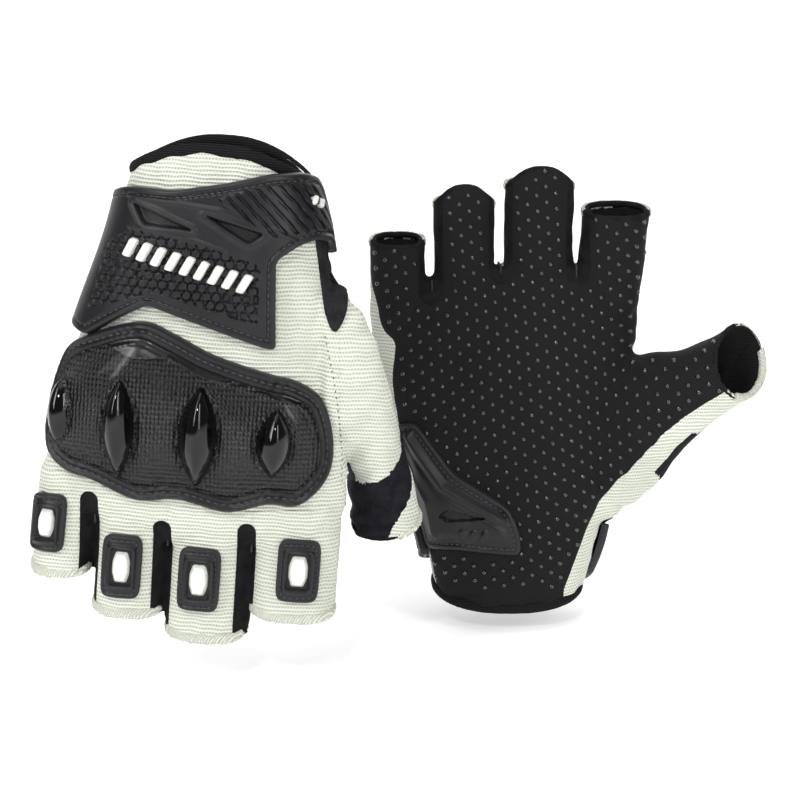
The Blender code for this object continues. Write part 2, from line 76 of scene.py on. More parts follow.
HAND = (
    (-12.0, -23.5, 27.5, -19.2, 18.8),
    (-3.0, -24.6, 29.5, -20.2, 19.8),
    (20.0, -28.2, 36.0, -21.0, 20.5),
    (50.0, -37.0, 42.0, -19.5, 19.5),
    (80.0, -45.5, 47.0, -17.5, 18.0),
    (100.0, -48.5, 50.0, -15.5, 16.5),
    (120.0, -49.5, 50.5, -12.5, 14.0),
    (130.0, -49.5, 50.5, -12.0, 13.0),
)
CUFF_EDGE = {"a": (-1.2, 1.6, 4.6), "b": (2.2, 4.0, 0.6)}    # level, slant and arch
Finger = namedtuple("Finger", "hinge x_base x_tip w_base w_tip palm_hem back_hem tab")
FINGERS = {
    "a": {
        "little": Finger(108.0, -40.4, -42.0, 20.0, 19.2, 134.0, 137.5, 0.0),
        "ring": Finger(114.0, -18.4, -19.2, 23.6, 23.4, 146.0, 149.5, 8.0),
        "middle": Finger(117.0, 7.3, 6.8, 26.6, 26.4, 152.5, 156.0, 8.0),
        "index": Finger(115.0, 35.2, 34.9, 28.2, 28.4, 142.5, 147.0, 0.0),
    },
    "b": {
        "little": Finger(108.0, -38.4, -39.0, 21.0, 20.2, 132.0, 135.5, 0.0),
        "ring": Finger(114.0, -14.2, -14.5, 22.4, 22.2, 146.0, 149.5, 8.0),
        "middle": Finger(117.0, 12.9, 13.2, 25.4, 25.2, 152.5, 156.0, 8.0),
        "index": Finger(115.0, 39.4, 41.8, 23.8, 24.8, 142.5, 147.0, 0.0),
    },
}
# Finger gaps: x, height of the gap's bottom, height of the gusset's seam.
CROTCHES = {
    "a": ((-30.4, 119.0, 109.0), (-6.4, 125.0, 116.5), (20.9, 125.0, 115.5)),
    "b": ((-26.7, 119.0, 109.0), (-1.3, 125.0, 116.5), (27.0, 125.0, 115.5)),
}
FINGER_DEPTH = (12.4, 10.4)
BEND_REACH = (6.0, 7.0)      # how far fabric bends before and after a finger hinge

Station = namedtuple("Station", "upper lower y depth")
THUMB_ROOT = Station((40.0, 88.0), (36.0, 34.0), 0.0, 15.0)
THUMB_BASE = Station((47.0, 91.0), (44.0, 39.0), -1.5, 15.5)
THUMB_STATIONS = {
    "a": (
        THUMB_ROOT, THUMB_BASE,
        Station((49.5, 95.0), (51.5, 51.0), -5.0, 15.5),
        Station((50.8, 100.0), (59.5, 68.0), -9.0, 14.5),
        Station((51.0, 105.5), (66.0, 85.0), -13.0, 13.0),
        Station((51.5, 112.5), (71.5, 100.0), -17.0, 12.3),
        Station((52.5, 121.5), (75.8, 115.0), -21.0, 12.0),
        Station((53.5, 129.0), (78.0, 124.0), -24.0, 12.0),
    ),
    "b": (
        Station((40.0, 88.0), (38.0, 26.0), 0.0, 14.0),
        Station((47.0, 91.0), (48.0, 33.0), -1.5, 15.5),
        Station((51.0, 92.0), (57.5, 41.5), -4.0, 15.5),
        Station((57.0, 92.5), (65.0, 53.0), -7.5, 14.5),
        Station((67.0, 95.0), (76.0, 66.2), -12.0, 13.0),
        Station((77.5, 100.5), (94.5, 81.5), -17.0, 12.3),
        Station((84.0, 107.0), (101.0, 88.5), -21.0, 12.3),
    ),
}
THUMB_AXIS_Y = -9.0
THUMB_LEAN = {"a": (0.0, -0.1, 0.1), "b": (0.15, -0.8, -0.15)}
THUMB_BLEND = 13.0           # length over which the thumb's root bends

KNUCKLE_OUTLINE = (
    (-19.0, 54.4), (-7.8, 57.8), (4.2, 63.0), (21.6, 67.8), (31.5, 70.0),
    (40.0, 75.5), (44.5, 87.0), (44.5, 98.0), (40.0, 106.3), (33.6, 110.9),
    (25.0, 110.6), (12.0, 114.0), (-3.7, 111.0), (-17.0, 112.2), (-31.0, 107.2),
    (-41.0, 104.8), (-48.5, 98.0), (-50.0, 82.0), (-46.0, 66.0), (-33.0, 58.5),
)
WELT_WIDTH = 5.5
Bump = namedtuple("Bump", "arc low high width height")
KNUCKLE_BUMPS = (
    Bump(-41.5, 71.5, 92.5, 7.6, 4.6),
    Bump(-21.8, 69.0, 101.0, 10.0, 6.6),
    Bump(2.2, 69.5, 102.0, 12.0, 7.0),
    Bump(25.0, 75.0, 97.5, 10.6, 5.6),
)
GUARD_SHIFT = (0.0, -3.2)
HEEL_OUTLINE = (
    (-43.0, 66.0), (-34.0, 67.6), (-21.0, 49.3), (-1.3, 37.0), (2.2, 28.0),
    (2.7, 19.0), (-20.7, 20.6), (-36.0, 18.7), (-40.0, 42.0),
)
LOOP_OUTLINE = (
    (34.0, 16.0), (40.0, 20.0), (44.0, 33.0), (46.0, 44.0), (43.0, 50.5), (39.5, 45.0), (36.5, 32.0),
)
HOOK_OUTLINE = ((31.0, 6.0), (39.0, 9.0), (43.5, 17.0), (42.0, 21.0), (33.0, 18.0))
THUMB_SEAM = ((40.0, 52.0), (44.0, 66.0), (46.6, 80.0), (48.0, 92.0), (48.6, 101.0))

STRAP_OUTLINE = (
    (-51.0, 16.5), (-38.0, 11.5), (-27.0, 9.6), (-12.0, 9.8), (3.5, 6.5), (17.0, 2.6),
    (27.0, 1.4), (34.0, 2.2), (39.5, 6.0), (44.0, 13.0), (47.0, 20.0), (47.0, 27.5),
    (40.0, 22.5), (31.5, 22.0), (25.5, 24.2), (19.3, 29.2), (21.0, 43.0), (22.8, 57.0),
    (19.0, 56.6), (3.4, 52.0), (-18.0, 45.8), (-26.0, 50.4), (-37.0, 57.5), (-51.0, 53.5),
)
STRAP_LIFT = 1.4
STRAP_HINGE = np.array((-37.77, 0.24, 38.5))
STRAP_INWARD = np.array((0.51, 0.85, -0.05))
STRAP_BEND = (STRAP_HINGE - 1.0 * STRAP_INWARD, STRAP_HINGE + 7.5 * STRAP_INWARD)
STRAP_THICKNESS = 2.6
STRAP_TOP = STRAP_LIFT + STRAP_THICKNESS

CAP_SIZES = {                # width, length, height of its middle, arc
    "little": (11.8, 19.5, 119.5, -4.0),
    "ring": (12.6, 21.5, 132.2, -1.6),
    "middle": (13.4, 21.6, 134.6, -2.2),
    "index": (13.6, 21.4, 129.2, 1.6),
}
SKIN_VOXEL = 1.05
CLOTH_THICKNESS = 1.2


# ---------------------------------------------------------------- curves and sections

def curve(points, at):
    """Smooth curve through rows of (position, values...), read at many positions."""
    table = np.array(points, dtype=float)
    where = table[:, 0]
    slopes = np.gradient(table[:, 1:], where, axis=0)
    at = np.clip(np.atleast_1d(np.asarray(at, dtype=float)), where[0], where[-1])
    i = np.clip(np.searchsorted(where, at, side="right") - 1, 0, len(where) - 2)
    span = where[i + 1] - where[i]
    t = ((at - where[i]) / span)[:, None]
    span = span[:, None]
    start = (1 + 2 * t) * (1 - t) ** 2
    end = t * t * (3 - 2 * t)
    bend = span * (t * (1 - t) ** 2 * slopes[i] + t * t * (t - 1) * slopes[i + 1])
    return start * table[i, 1:] + end * table[i + 1, 1:] + bend


def closed_curve(points, steps):
    """Smooth closed loop through points."""
    knots = np.array(points, dtype=float)
    count = len(knots)
    place = np.arange(steps) * count / steps
    i = place.astype(int)
    t = (place - i)[:, None]
    before, here, after, beyond = (knots[(i + k) % count] for k in (-1, 0, 1, 2))
    return 0.5 * (2 * here + (after - before) * t
                  + (2 * before - 5 * here + 4 * after - beyond) * t * t
                  + (3 * here - before - 3 * after + beyond) * t ** 3)


def rounded_polygon(points, radius, steps=5):
    """Polygon with its corners rounded by short arcs."""
    points = np.array(points, dtype=float)
    loop = []
    for before, here, after in zip(np.roll(points, 1, 0), points, np.roll(points, -1, 0)):
        back = before - here
        ahead = after - here
        reach = min(radius, 0.45 * np.linalg.norm(back), 0.45 * np.linalg.norm(ahead))
        start = here + back / np.linalg.norm(back) * reach
        end = here + ahead / np.linalg.norm(ahead) * reach
        for t in np.linspace(0.0, 1.0, steps):
            loop.append((1 - t) ** 2 * start + 2 * t * (1 - t) * here + t * t * end)
    return np.array(loop)


def run_along(points):
    """Length from the start of a line of points to each of them."""
    return np.concatenate(([0.0], np.cumsum(np.linalg.norm(np.diff(points, axis=0), axis=1))))


def dense_loop(loop, pitch):
    """Closed loop resampled at an even pitch."""
    closed = np.vstack((loop, loop[:1]))
    lengths = run_along(closed)
    steps = max(8, int(lengths[-1] / pitch))
    at = np.linspace(0.0, lengths[-1], steps, endpoint=False)
    return np.stack([np.interp(at, lengths, closed[:, k]) for k in range(closed.shape[1])], axis=1)


def smooth_step(value, low, high):
    share = np.clip((value - low) / (high - low), 0.0, 1.0)
    return share * share * (3 - 2 * share)


def signed_power(value, power):
    return np.sign(value) * np.abs(value) ** power


def unit(vectors):
    return vectors / np.linalg.norm(vectors, axis=1, keepdims=True)


def full_turn(count):
    return np.linspace(0.0, 2 * math.pi, count, endpoint=False)


def hand_section(z):
    ulnar, radial, palm, back = curve(HAND, z).T
    return (ulnar + radial) / 2, (palm + back) / 2, (radial - ulnar) / 2, (back - palm) / 2


def finger_section(finger, z):
    z = np.atleast_1d(np.asarray(z, dtype=float))
    share = (z - finger.hinge) / (finger.back_hem - finger.hinge)
    x = finger.x_base + share * (finger.x_tip - finger.x_base)
    width = finger.w_base + share * (finger.w_tip - finger.w_base)
    depth = FINGER_DEPTH[0] + share * (FINGER_DEPTH[1] - FINGER_DEPTH[0])
    return x, np.full_like(x, 0.5), width / 2, depth


def oval_point(section, turn, lift=0.0):
    """x, y on a section; turn runs from the middle of the back to the thumb side."""
    x, y, a, b = section
    sine = np.sin(turn)
    cosine = np.cos(turn)
    across = signed_power(sine, 2 - 2 / OVAL) / a
    outward = signed_power(cosine, 2 - 2 / OVAL) / b
    length = np.hypot(across, outward)
    return (x + a * signed_power(sine, 2 / OVAL) + lift * across / length,
            y + b * signed_power(cosine, 2 / OVAL) + lift * outward / length)


class Wrap:
    """Maps (arc, height, lift) to points around a lofted tube, by arc length."""

    def __init__(self, section_of, low, high, step=1.0, palm=False):
        self.section_of = section_of
        self.palm = palm
        self.levels = np.arange(low, high + step, step)
        self.step = step
        self.turns = np.linspace(-math.pi, math.pi, 361)
        self.arcs = []
        for z in self.levels:
            section = [float(np.ravel(v)[0]) for v in section_of(z)]
            x, y = oval_point(section, self.turns)
            run = np.concatenate(([0.0], np.cumsum(np.hypot(np.diff(x), np.diff(y)))))
            self.arcs.append(run - run[180])

    def turn_at(self, arc, z):
        place = np.clip((z - self.levels[0]) / self.step, 0, len(self.levels) - 1.001)
        row = place.astype(int)
        share = place - row
        turn = np.zeros_like(arc)
        for r in np.unique(row):
            pick = row == r
            low = np.interp(arc[pick], self.arcs[r], self.turns)
            high = np.interp(arc[pick], self.arcs[r + 1], self.turns)
            turn[pick] = low + share[pick] * (high - low)
        return turn

    def points(self, arc, z, lift):
        arc = np.asarray(arc, dtype=float)
        z = np.asarray(z, dtype=float) + np.zeros_like(arc)
        section = self.section_of(z)
        x, y = oval_point(section, self.turn_at(arc, z), lift)
        if self.palm:
            y = 2 * section[1] - y
        return np.stack((x, y, z), axis=1)


def cuff_edge(side, turn):
    level, slant, arch = CUFF_EDGE[side]
    return level + slant * np.cos(turn) - arch * np.cos(2 * turn)


def stall_hem(finger, turn):
    middle = (finger.palm_hem + finger.back_hem) / 2
    slant = (finger.back_hem - finger.palm_hem) / 2
    return middle + slant * np.cos(turn) + finger.tab * np.maximum(-np.cos(turn), 0.0) ** 2


def thumb_frames(side, rows):
    """Centre, width direction, back direction, half width and depth at station numbers."""
    stations = THUMB_STATIONS[side]
    table = [(i, *s.upper, *s.lower, s.y, s.depth) for i, s in enumerate(stations)]

    def read(at):
        ux, uz, lx, lz, y, depth = curve(table, at).T
        upper = np.stack((ux, y, uz), axis=1)
        lower = np.stack((lx, y, lz), axis=1)
        return (upper + lower) / 2, (lower - upper) / 2, depth

    last = len(stations) - 1
    rows = np.atleast_1d(np.asarray(rows, dtype=float))
    centre, width, depth = read(rows)
    along = read(np.minimum(rows + 0.1, last))[0] - read(np.maximum(rows - 0.1, 0.0))[0]
    along = unit(along)
    half = np.linalg.norm(width, axis=1)
    width = width / half[:, None]
    back = unit(np.cross(along, width))
    return centre, width, back, half, depth, along


def thumb_opening(side):
    """Middle and direction of the thumb's open end, which leans to the palm side."""
    centre, _, _, _, _, along = thumb_frames(side, len(THUMB_STATIONS[side]) - 2)
    normal = along[0] + THUMB_LEAN[side]
    return centre[0], normal / np.linalg.norm(normal)


def thumb_rim(side, turns):
    """Station numbers at which the open end cuts the thumb, at each turn."""
    centre, normal = thumb_opening(side)
    last = len(THUMB_STATIONS[side]) - 2
    rows = np.linspace(last - 1.2, last + 1.0, 90)
    found = np.full_like(turns, rows[-1])
    for row in rows[::-1]:
        past = (thumb_points(side, np.full_like(turns, row), turns) - centre) @ normal > -0.8
        found[past] = row
    return found


def thumb_points(side, rows, turns, lift=0.0):
    centre, width, back, half, depth, _ = thumb_frames(side, rows)
    return (centre + width * ((half + lift) * np.sin(turns))[:, None]
            + back * ((depth + lift) * np.cos(turns))[:, None])


def thumb_place(side, points):
    """Station number and turn of the thumb section that each point lies in."""
    count = len(THUMB_STATIONS[side]) - 1
    rows = np.linspace(0.0, count, 12 * count + 1)
    centre, width, back, half, depth, along = thumb_frames(side, rows)
    best = np.full(len(points), np.inf)
    row = np.zeros(len(points))
    turn = np.zeros(len(points))
    for i, at in enumerate(rows):
        off = points - centre[i]
        u = off @ width[i] / half[i]
        v = off @ back[i] / depth[i]
        cost = np.abs(off @ along[i]) + 2.0 * np.abs(np.hypot(u, v) - 1)
        better = cost < best
        best[better] = cost[better]
        row[better] = at
        turn[better] = np.arctan2(u[better], v[better])
    return row, turn


# ---------------------------------------------------------------- meshes

def added(name, data):
    """New object, linked to the scene."""
    made = bpy.data.objects.new(name, data)
    bpy.context.scene.collection.objects.link(made)
    return made


def new_object(name, points, faces, side):
    """Mesh object from points in a glove's frame (mm), placed in the row frame."""
    mesh = bpy.data.meshes.new(name)
    mesh.from_pydata((np.asarray(points) * MM).tolist(), [], np.asarray(faces).tolist()
                     if isinstance(faces, np.ndarray) else faces)
    rest = mesh.attributes.new("rest", "FLOAT_VECTOR", "POINT")
    rest.data.foreach_set("vector", np.asarray(points, dtype=np.float32).ravel())
    mesh.transform(SIDES[side])
    mesh.shade_smooth()
    mesh.update()
    return added(name, mesh)


def add_value(obj, name, values):
    field = obj.data.attributes.new(name, "FLOAT", "POINT")
    field.data.foreach_set("value", np.asarray(values, dtype=np.float32))


def ring_quads(rows, cols, closed=False, inward=False):
    """Quads between neighbouring rings of points, and from the last to the first if closed."""
    faces = []
    for r in range(rows if closed else rows - 1):
        here, there = r * cols, (r + 1) % rows * cols
        for c in range(cols):
            n = (c + 1) % cols
            faces.append((here + n, here + c, there + c, there + n) if inward
                         else (here + c, here + n, there + n, there + c))
    return faces


def tube_faces(rows, cols):
    return ring_quads(rows, cols) + [tuple(range(cols))[::-1], tuple(range((rows - 1) * cols, rows * cols))]


def repeated(faces, size, count):
    """The same faces on each of count runs of size points."""
    return [tuple(i * size + v for v in face) for i in range(count) for face in faces]


def surface_tree(points, faces):
    return BVHTree.FromPolygons([tuple(p) for p in points], faces)


def loft(grid):
    """Closed tube from rows of points."""
    rows, cols = grid.shape[:2]
    return grid.reshape(-1, 3), tube_faces(rows, cols)


def hand_loft(side):
    turns = full_turn(96)
    x, _ = oval_point(hand_section(np.full_like(turns, 112.0)), turns)
    gaps = [gap[0] for gap in CROTCHES[side]]
    top = np.interp(x, (-50, *gaps, 50), (116.0, 119.0, 125.0, 125.0, 118.0))
    grid = []
    for share in np.concatenate((np.linspace(0.0, 0.93, 44), (0.95, 0.97, 0.985, 0.995, 1.0))):
        z = -10.0 + share * (top + 10.0)
        inset = -6.0 * np.clip((share - 0.93) / 0.07, 0.0, 1.0) ** 2
        x, y = oval_point(hand_section(z), turns, inset)
        grid.append(np.stack((x, y, z), axis=1))
    return loft(np.array(grid))


def finger_loft(finger):
    turns = full_turn(48)
    grid = []
    for z in np.arange(finger.hinge - 16.0, finger.back_hem + 9.0, 2.5):
        levels = np.full_like(turns, z)
        early = 1 - smooth_step(z, finger.hinge - 16.0, finger.hinge - 2.0)
        x, y = oval_point(finger_section(finger, levels), turns, -4.0 * early)
        grid.append(np.stack((x, y, levels), axis=1))
    return loft(np.array(grid))


def thumb_loft(side):
    turns = full_turn(64)
    count = len(THUMB_STATIONS[side]) - 1
    grid = [thumb_points(side, np.full_like(turns, row), turns)
            for row in np.linspace(0.0, count, 10 * count + 1)]
    points, faces = loft(np.array(grid))
    return points, [face[::-1] for face in faces]


def skin(side):
    """One smooth closed skin over hand, fingers and thumb."""
    points, faces = [], []
    for some_points, some_faces in [hand_loft(side), thumb_loft(side)] + [
            finger_loft(f) for f in FINGERS[side].values()]:
        base = sum(len(p) for p in points)
        points.append(some_points)
        faces += [tuple(base + v for v in face) for face in some_faces]
    mesh = bpy.data.meshes.new("skin")
    mesh.from_pydata(np.vstack(points).tolist(), [], faces)
    bm = bmesh.new()
    bm.from_mesh(mesh)
    bmesh.ops.recalc_face_normals(bm, faces=bm.faces)
    bm.to_mesh(mesh)
    bm.free()
    holder = added("skin", mesh)
    remesh = holder.modifiers.new("Remesh", "REMESH")
    remesh.mode = "VOXEL"
    remesh.voxel_size = SKIN_VOXEL
    smooth = holder.modifiers.new("Smooth", "SMOOTH")
    smooth.factor = 0.5
    smooth.iterations = 9
    bpy.context.view_layer.update()
    evaluated = holder.evaluated_get(bpy.context.evaluated_depsgraph_get())
    result = evaluated.to_mesh()
    result.calc_loop_triangles()
    out = np.empty(len(result.vertices) * 3)
    result.vertices.foreach_get("co", out)
    tris = np.empty(len(result.loop_triangles) * 3, dtype=int)
    result.loop_triangles.foreach_get("vertices", tris)
    evaluated.to_mesh_clear()
    bpy.data.objects.remove(holder)
    return out.reshape(-1, 3), tris.reshape(-1, 3)


def split(points, tris, labels, values):
    """Cuts triangles along the zero line of a field; returns the side of each one too."""
    above = values[tris] >= 0
    count = above.sum(axis=1)
    whole = (count == 0) | (count == 3)
    mixed = np.nonzero(~whole)[0]
    if not len(mixed):
        return points, tris, labels, count == 3
    lone_above = count[mixed] == 1
    lone = np.where(lone_above, np.argmax(above[mixed], axis=1), np.argmin(above[mixed], axis=1))
    spin = (lone[:, None] + np.arange(3)) % 3
    t = np.take_along_axis(tris[mixed], spin, axis=1)
    ends = np.concatenate((t[:, [0, 1]], t[:, [0, 2]]))
    key = np.sort(ends, axis=1)
    edges, index = np.unique(key, axis=0, return_inverse=True)
    index = index.reshape(-1)
    v0 = values[edges[:, 0]]
    v1 = values[edges[:, 1]]
    share = np.clip(v0 / (v0 - v1), 0.02, 0.98)[:, None]
    fresh = points[edges[:, 0]] * (1 - share) + points[edges[:, 1]] * share
    a = len(points) + index[:len(mixed)]
    b = len(points) + index[len(mixed):]
    points = np.vstack((points, fresh))
    near = np.stack((t[:, 0], a, b), axis=1)
    far_1 = np.stack((a, t[:, 1], t[:, 2]), axis=1)
    far_2 = np.stack((a, t[:, 2], b), axis=1)
    all_tris = np.vstack((tris[whole], near, far_1, far_2))
    kept = labels[mixed]
    all_labels = np.concatenate((labels[whole], kept, kept, kept))
    sides = np.concatenate((count[whole] == 3, lone_above, ~lone_above, ~lone_above))
    return points, all_tris, all_labels, sides


def compact(points, tris):
    used, index = np.unique(tris, return_inverse=True)
    return points[used], index.reshape(-1, 3)


def polyline_side(points, line):
    """Signed distance to an open line: positive on its right-hand side."""
    best = np.full(len(points), np.inf)
    signed = np.zeros(len(points))
    line = np.array(line, dtype=float)
    for a, b in zip(line, line[1:]):
        d = b - a
        t = np.clip(((points - a) @ d) / (d @ d), 0.0, 1.0)
        off = points - (a + t[:, None] * d)
        dist = np.hypot(off[:, 0], off[:, 1])
        cross = d[0] * (points[:, 1] - a[1]) - d[1] * (points[:, 0] - a[0])
        closer = dist < best - 1e-9
        best[closer] = dist[closer]
        signed[closer] = np.where(cross[closer] < 0, dist[closer], -dist[closer])
    return signed


def loop_distance(points, loop):
    """Signed distance to a closed loop: positive inside."""
    best = np.full(len(points), np.inf)
    inside = np.zeros(len(points), dtype=bool)
    for a, b in zip(loop, np.roll(loop, -1, axis=0)):
        d = b - a
        t = np.clip(((points - a) @ d) / max(d @ d, 1e-12), 0.0, 1.0)
        off = points - (a + t[:, None] * d)
        best = np.minimum(best, np.hypot(off[:, 0], off[:, 1]))
        crosses = (a[1] > points[:, 1]) != (b[1] > points[:, 1])
        if abs(d[1]) > 1e-12:
            inside ^= crosses & (points[:, 0] < a[0] + (points[:, 1] - a[1]) / d[1] * d[0])
    return np.where(inside, best, -best)


# ---------------------------------------------------------------- fabric regions

PALM_BORDER = ((23.0, -10.0), (23.0, 4.7), (27.5, 17.6), (31.0, 27.0), (36.0, 37.0), (44.0, 47.5),
               (50.0, 55.0))
THUMB_PALM_TURNS = {"a": (math.radians(150.0), math.radians(300.0)),
                    "b": (math.radians(161.0), math.radians(300.0))}


def hinge_line(side, x):
    line = sorted((f.x_base, f.hinge) for f in FINGERS[side].values())
    return np.interp(x, [p[0] for p in line], [p[1] for p in line])


def hand_turn(points):
    x, y, a, b = hand_section(points[:, 2])
    return np.arctan2((points[:, 0] - x) / a, (points[:, 1] - y) / b)


class Regions:
    """Fields over a glove's skin, each positive inside its region."""

    def __init__(self, side):
        self.side = side
        hand = [hand_loft(side)] + [finger_loft(f) for f in FINGERS[side].values()]
        self.hand_trees = [surface_tree(*shape) for shape in hand]
        self.thumb_tree = surface_tree(*thumb_loft(side))
        upper = np.array((THUMB_BASE.upper[0], THUMB_AXIS_Y, THUMB_BASE.upper[1]))
        lower = np.array((THUMB_BASE.lower[0], THUMB_AXIS_Y, THUMB_BASE.lower[1]))
        self.axis = (upper - lower) / np.linalg.norm(upper - lower)
        self.pivot = (upper + lower) / 2
        self.outward = np.cross(self.axis, (0.0, -1.0, 0.0))
        self.outward *= math.copysign(1.0, self.outward[0])

    def thumb(self, points):
        plane = (points - self.pivot) @ self.outward
        values = plane.copy()
        for i in np.nonzero((plane > -3) & (points[:, 2] > 80))[0]:
            p = Vector(points[i])
            to_thumb = self.thumb_tree.find_nearest(p)[3]
            to_hand = min(tree.find_nearest(p)[3] for tree in self.hand_trees)
            values[i] = min(values[i], to_hand - to_thumb + 0.4)
        return values

    def kept(self, points, thumb):
        turn = hand_turn(points)
        keep = points[:, 2] - cuff_edge(self.side, turn)
        for finger, low, high in self.columns():
            column = (points[:, 0] > low) & (points[:, 0] <= high) & (points[:, 2] > 118) & (thumb < 0)
            x, y, a, b = finger_section(finger, points[:, 2])
            around = np.arctan2((points[:, 0] - x) / a, (points[:, 1] - y) / b)
            hem = stall_hem(finger, around) - points[:, 2]
            keep = np.where(column, np.minimum(keep, hem), keep)
        centre, normal = thumb_opening(self.side)
        opening = (centre - points) @ normal
        far = (thumb > 0) & (np.linalg.norm(points - centre, axis=1) < 30)
        return np.where(far, np.minimum(keep, opening), keep)

    def columns(self):
        lines = [-99.0] + [gap[0] for gap in CROTCHES[self.side]] + [99.0]
        return [(f, lines[i], lines[i + 1]) for i, f in enumerate(FINGERS[self.side].values())]

    def fourchette(self, points):
        """U-shaped gussets around the finger gaps, deeper on the palm side."""
        values = np.full(len(points), -99.0)
        for gap, _, seam in CROTCHES[self.side]:
            palm = points[:, 1] < 0.5
            half = np.where(palm, 4.4, 3.0)
            x = np.where(palm, gap, gap - 1.6)
            bottom = np.where(palm, seam + 1.5, seam - 1.0) + half
            down = np.minimum(points[:, 2] - bottom, 0.0)
            values = np.maximum(values, half - np.hypot(points[:, 0] - x, down))
        return values

    def palm(self, points, thumb):
        """Black palm fabric; the knit wraps the ulnar edge and the heel of the thumb."""
        z = points[:, 2]
        wrap = np.interp(z, (0, 40, 66, 80, 95, 105, 113, 122, 150),
                         (-7.0, -8.5, -9.0, -9.5, -10.0, -9.5, -7.0, -2.5, -0.5))
        radial_wrap = np.interp(z, (60, 95, 120, 150), (-4.0, -1.0, -0.5, -0.5))
        wrap = np.where(points[:, 0] > 20, radial_wrap, wrap)
        border = wrap - points[:, 1]
        side = -polyline_side(points[:, [0, 2]], PALM_BORDER)
        on_hand = np.where(z < 56, np.minimum(border, side), border)
        turn = np.mod(thumb_place(self.side, points)[1], 2 * math.pi)
        low, high = THUMB_PALM_TURNS[self.side]
        on_thumb = np.minimum(turn - low, high - turn) * 14.0
        mix = smooth_step(thumb, -6.0, 6.0)
        return on_hand * (1 - mix) + on_thumb * mix

    def suede(self, points, thumb):
        """Patch on the back of the thumb, which runs up its outer edge."""
        row, turn = thumb_place(self.side, points)
        share = row / (len(THUMB_STATIONS[self.side]) - 2)
        degrees = np.degrees(turn)
        low = np.interp(degrees, (-75, -40, 0, 30, 50, 70, 95, 115),
                        (0.72, 0.70, 0.68, 0.62, 0.50, 0.32, 0.22, 0.26))
        high = np.interp(degrees, (-75, -10, 5, 30, 55, 80, 100, 115),
                         (1.1, 1.1, 0.96, 0.88, 0.82, 0.75, 0.72, 0.68))
        reach = np.minimum(degrees + 72.0, 132.0 - degrees) * 0.25
        inside = np.minimum(np.minimum(share - low, high - share) * 60.0, reach)
        return np.where(thumb > 0, inside, -9.0)


def finish_piece(obj, side, body, blend=None):
    """Rides a piece on a body, or bends it between the hand and a moving body."""
    if blend is None:
        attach(obj, body)
        return
    start, end = ((SIDES[side] @ Vector(np.array(p) * MM)) for p in blend)
    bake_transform(obj, "root", body, start=start, end=end)


def add_piece(name, points, faces, side, kind, body, blend=None):
    """New piece with its material, on its body."""
    obj = new_object(f"{name}_{side}", points, faces, side)
    obj.data.materials.append(MATERIALS[kind])
    finish_piece(obj, side, body, blend)
    return obj


def finger_blend(side, name):
    finger = FINGERS[side][name]
    return ((finger.x_base, 0.0, finger.hinge - BEND_REACH[0]),
            (finger.x_base, 0.0, finger.hinge + BEND_REACH[1]))


def thumb_blend(regions):
    return regions.pivot, regions.pivot + regions.outward * THUMB_BLEND


RIPPLE_WAVES = 14


def ripple(points, seed, size, height):
    """Soft uneven relief, the same on every run."""
    random = np.random.default_rng(seed)
    total = np.zeros(len(points))
    for _ in range(RIPPLE_WAVES):
        direction = random.normal(size=3)
        direction *= (1.0 + random.random()) * 2 * math.pi / size / np.linalg.norm(direction)
        total += np.sin(points @ direction + random.random() * 6.28)
    return total * height / RIPPLE_WAVES ** 0.5


def vertex_normals(points, tris):
    a, b, c = (points[tris[:, k]] for k in range(3))
    face = np.cross(b - a, c - a)
    normals = np.zeros_like(points)
    for k in range(3):
        np.add.at(normals, tris[:, k], face)
    return normals / np.maximum(np.linalg.norm(normals, axis=1, keepdims=True), 1e-12)


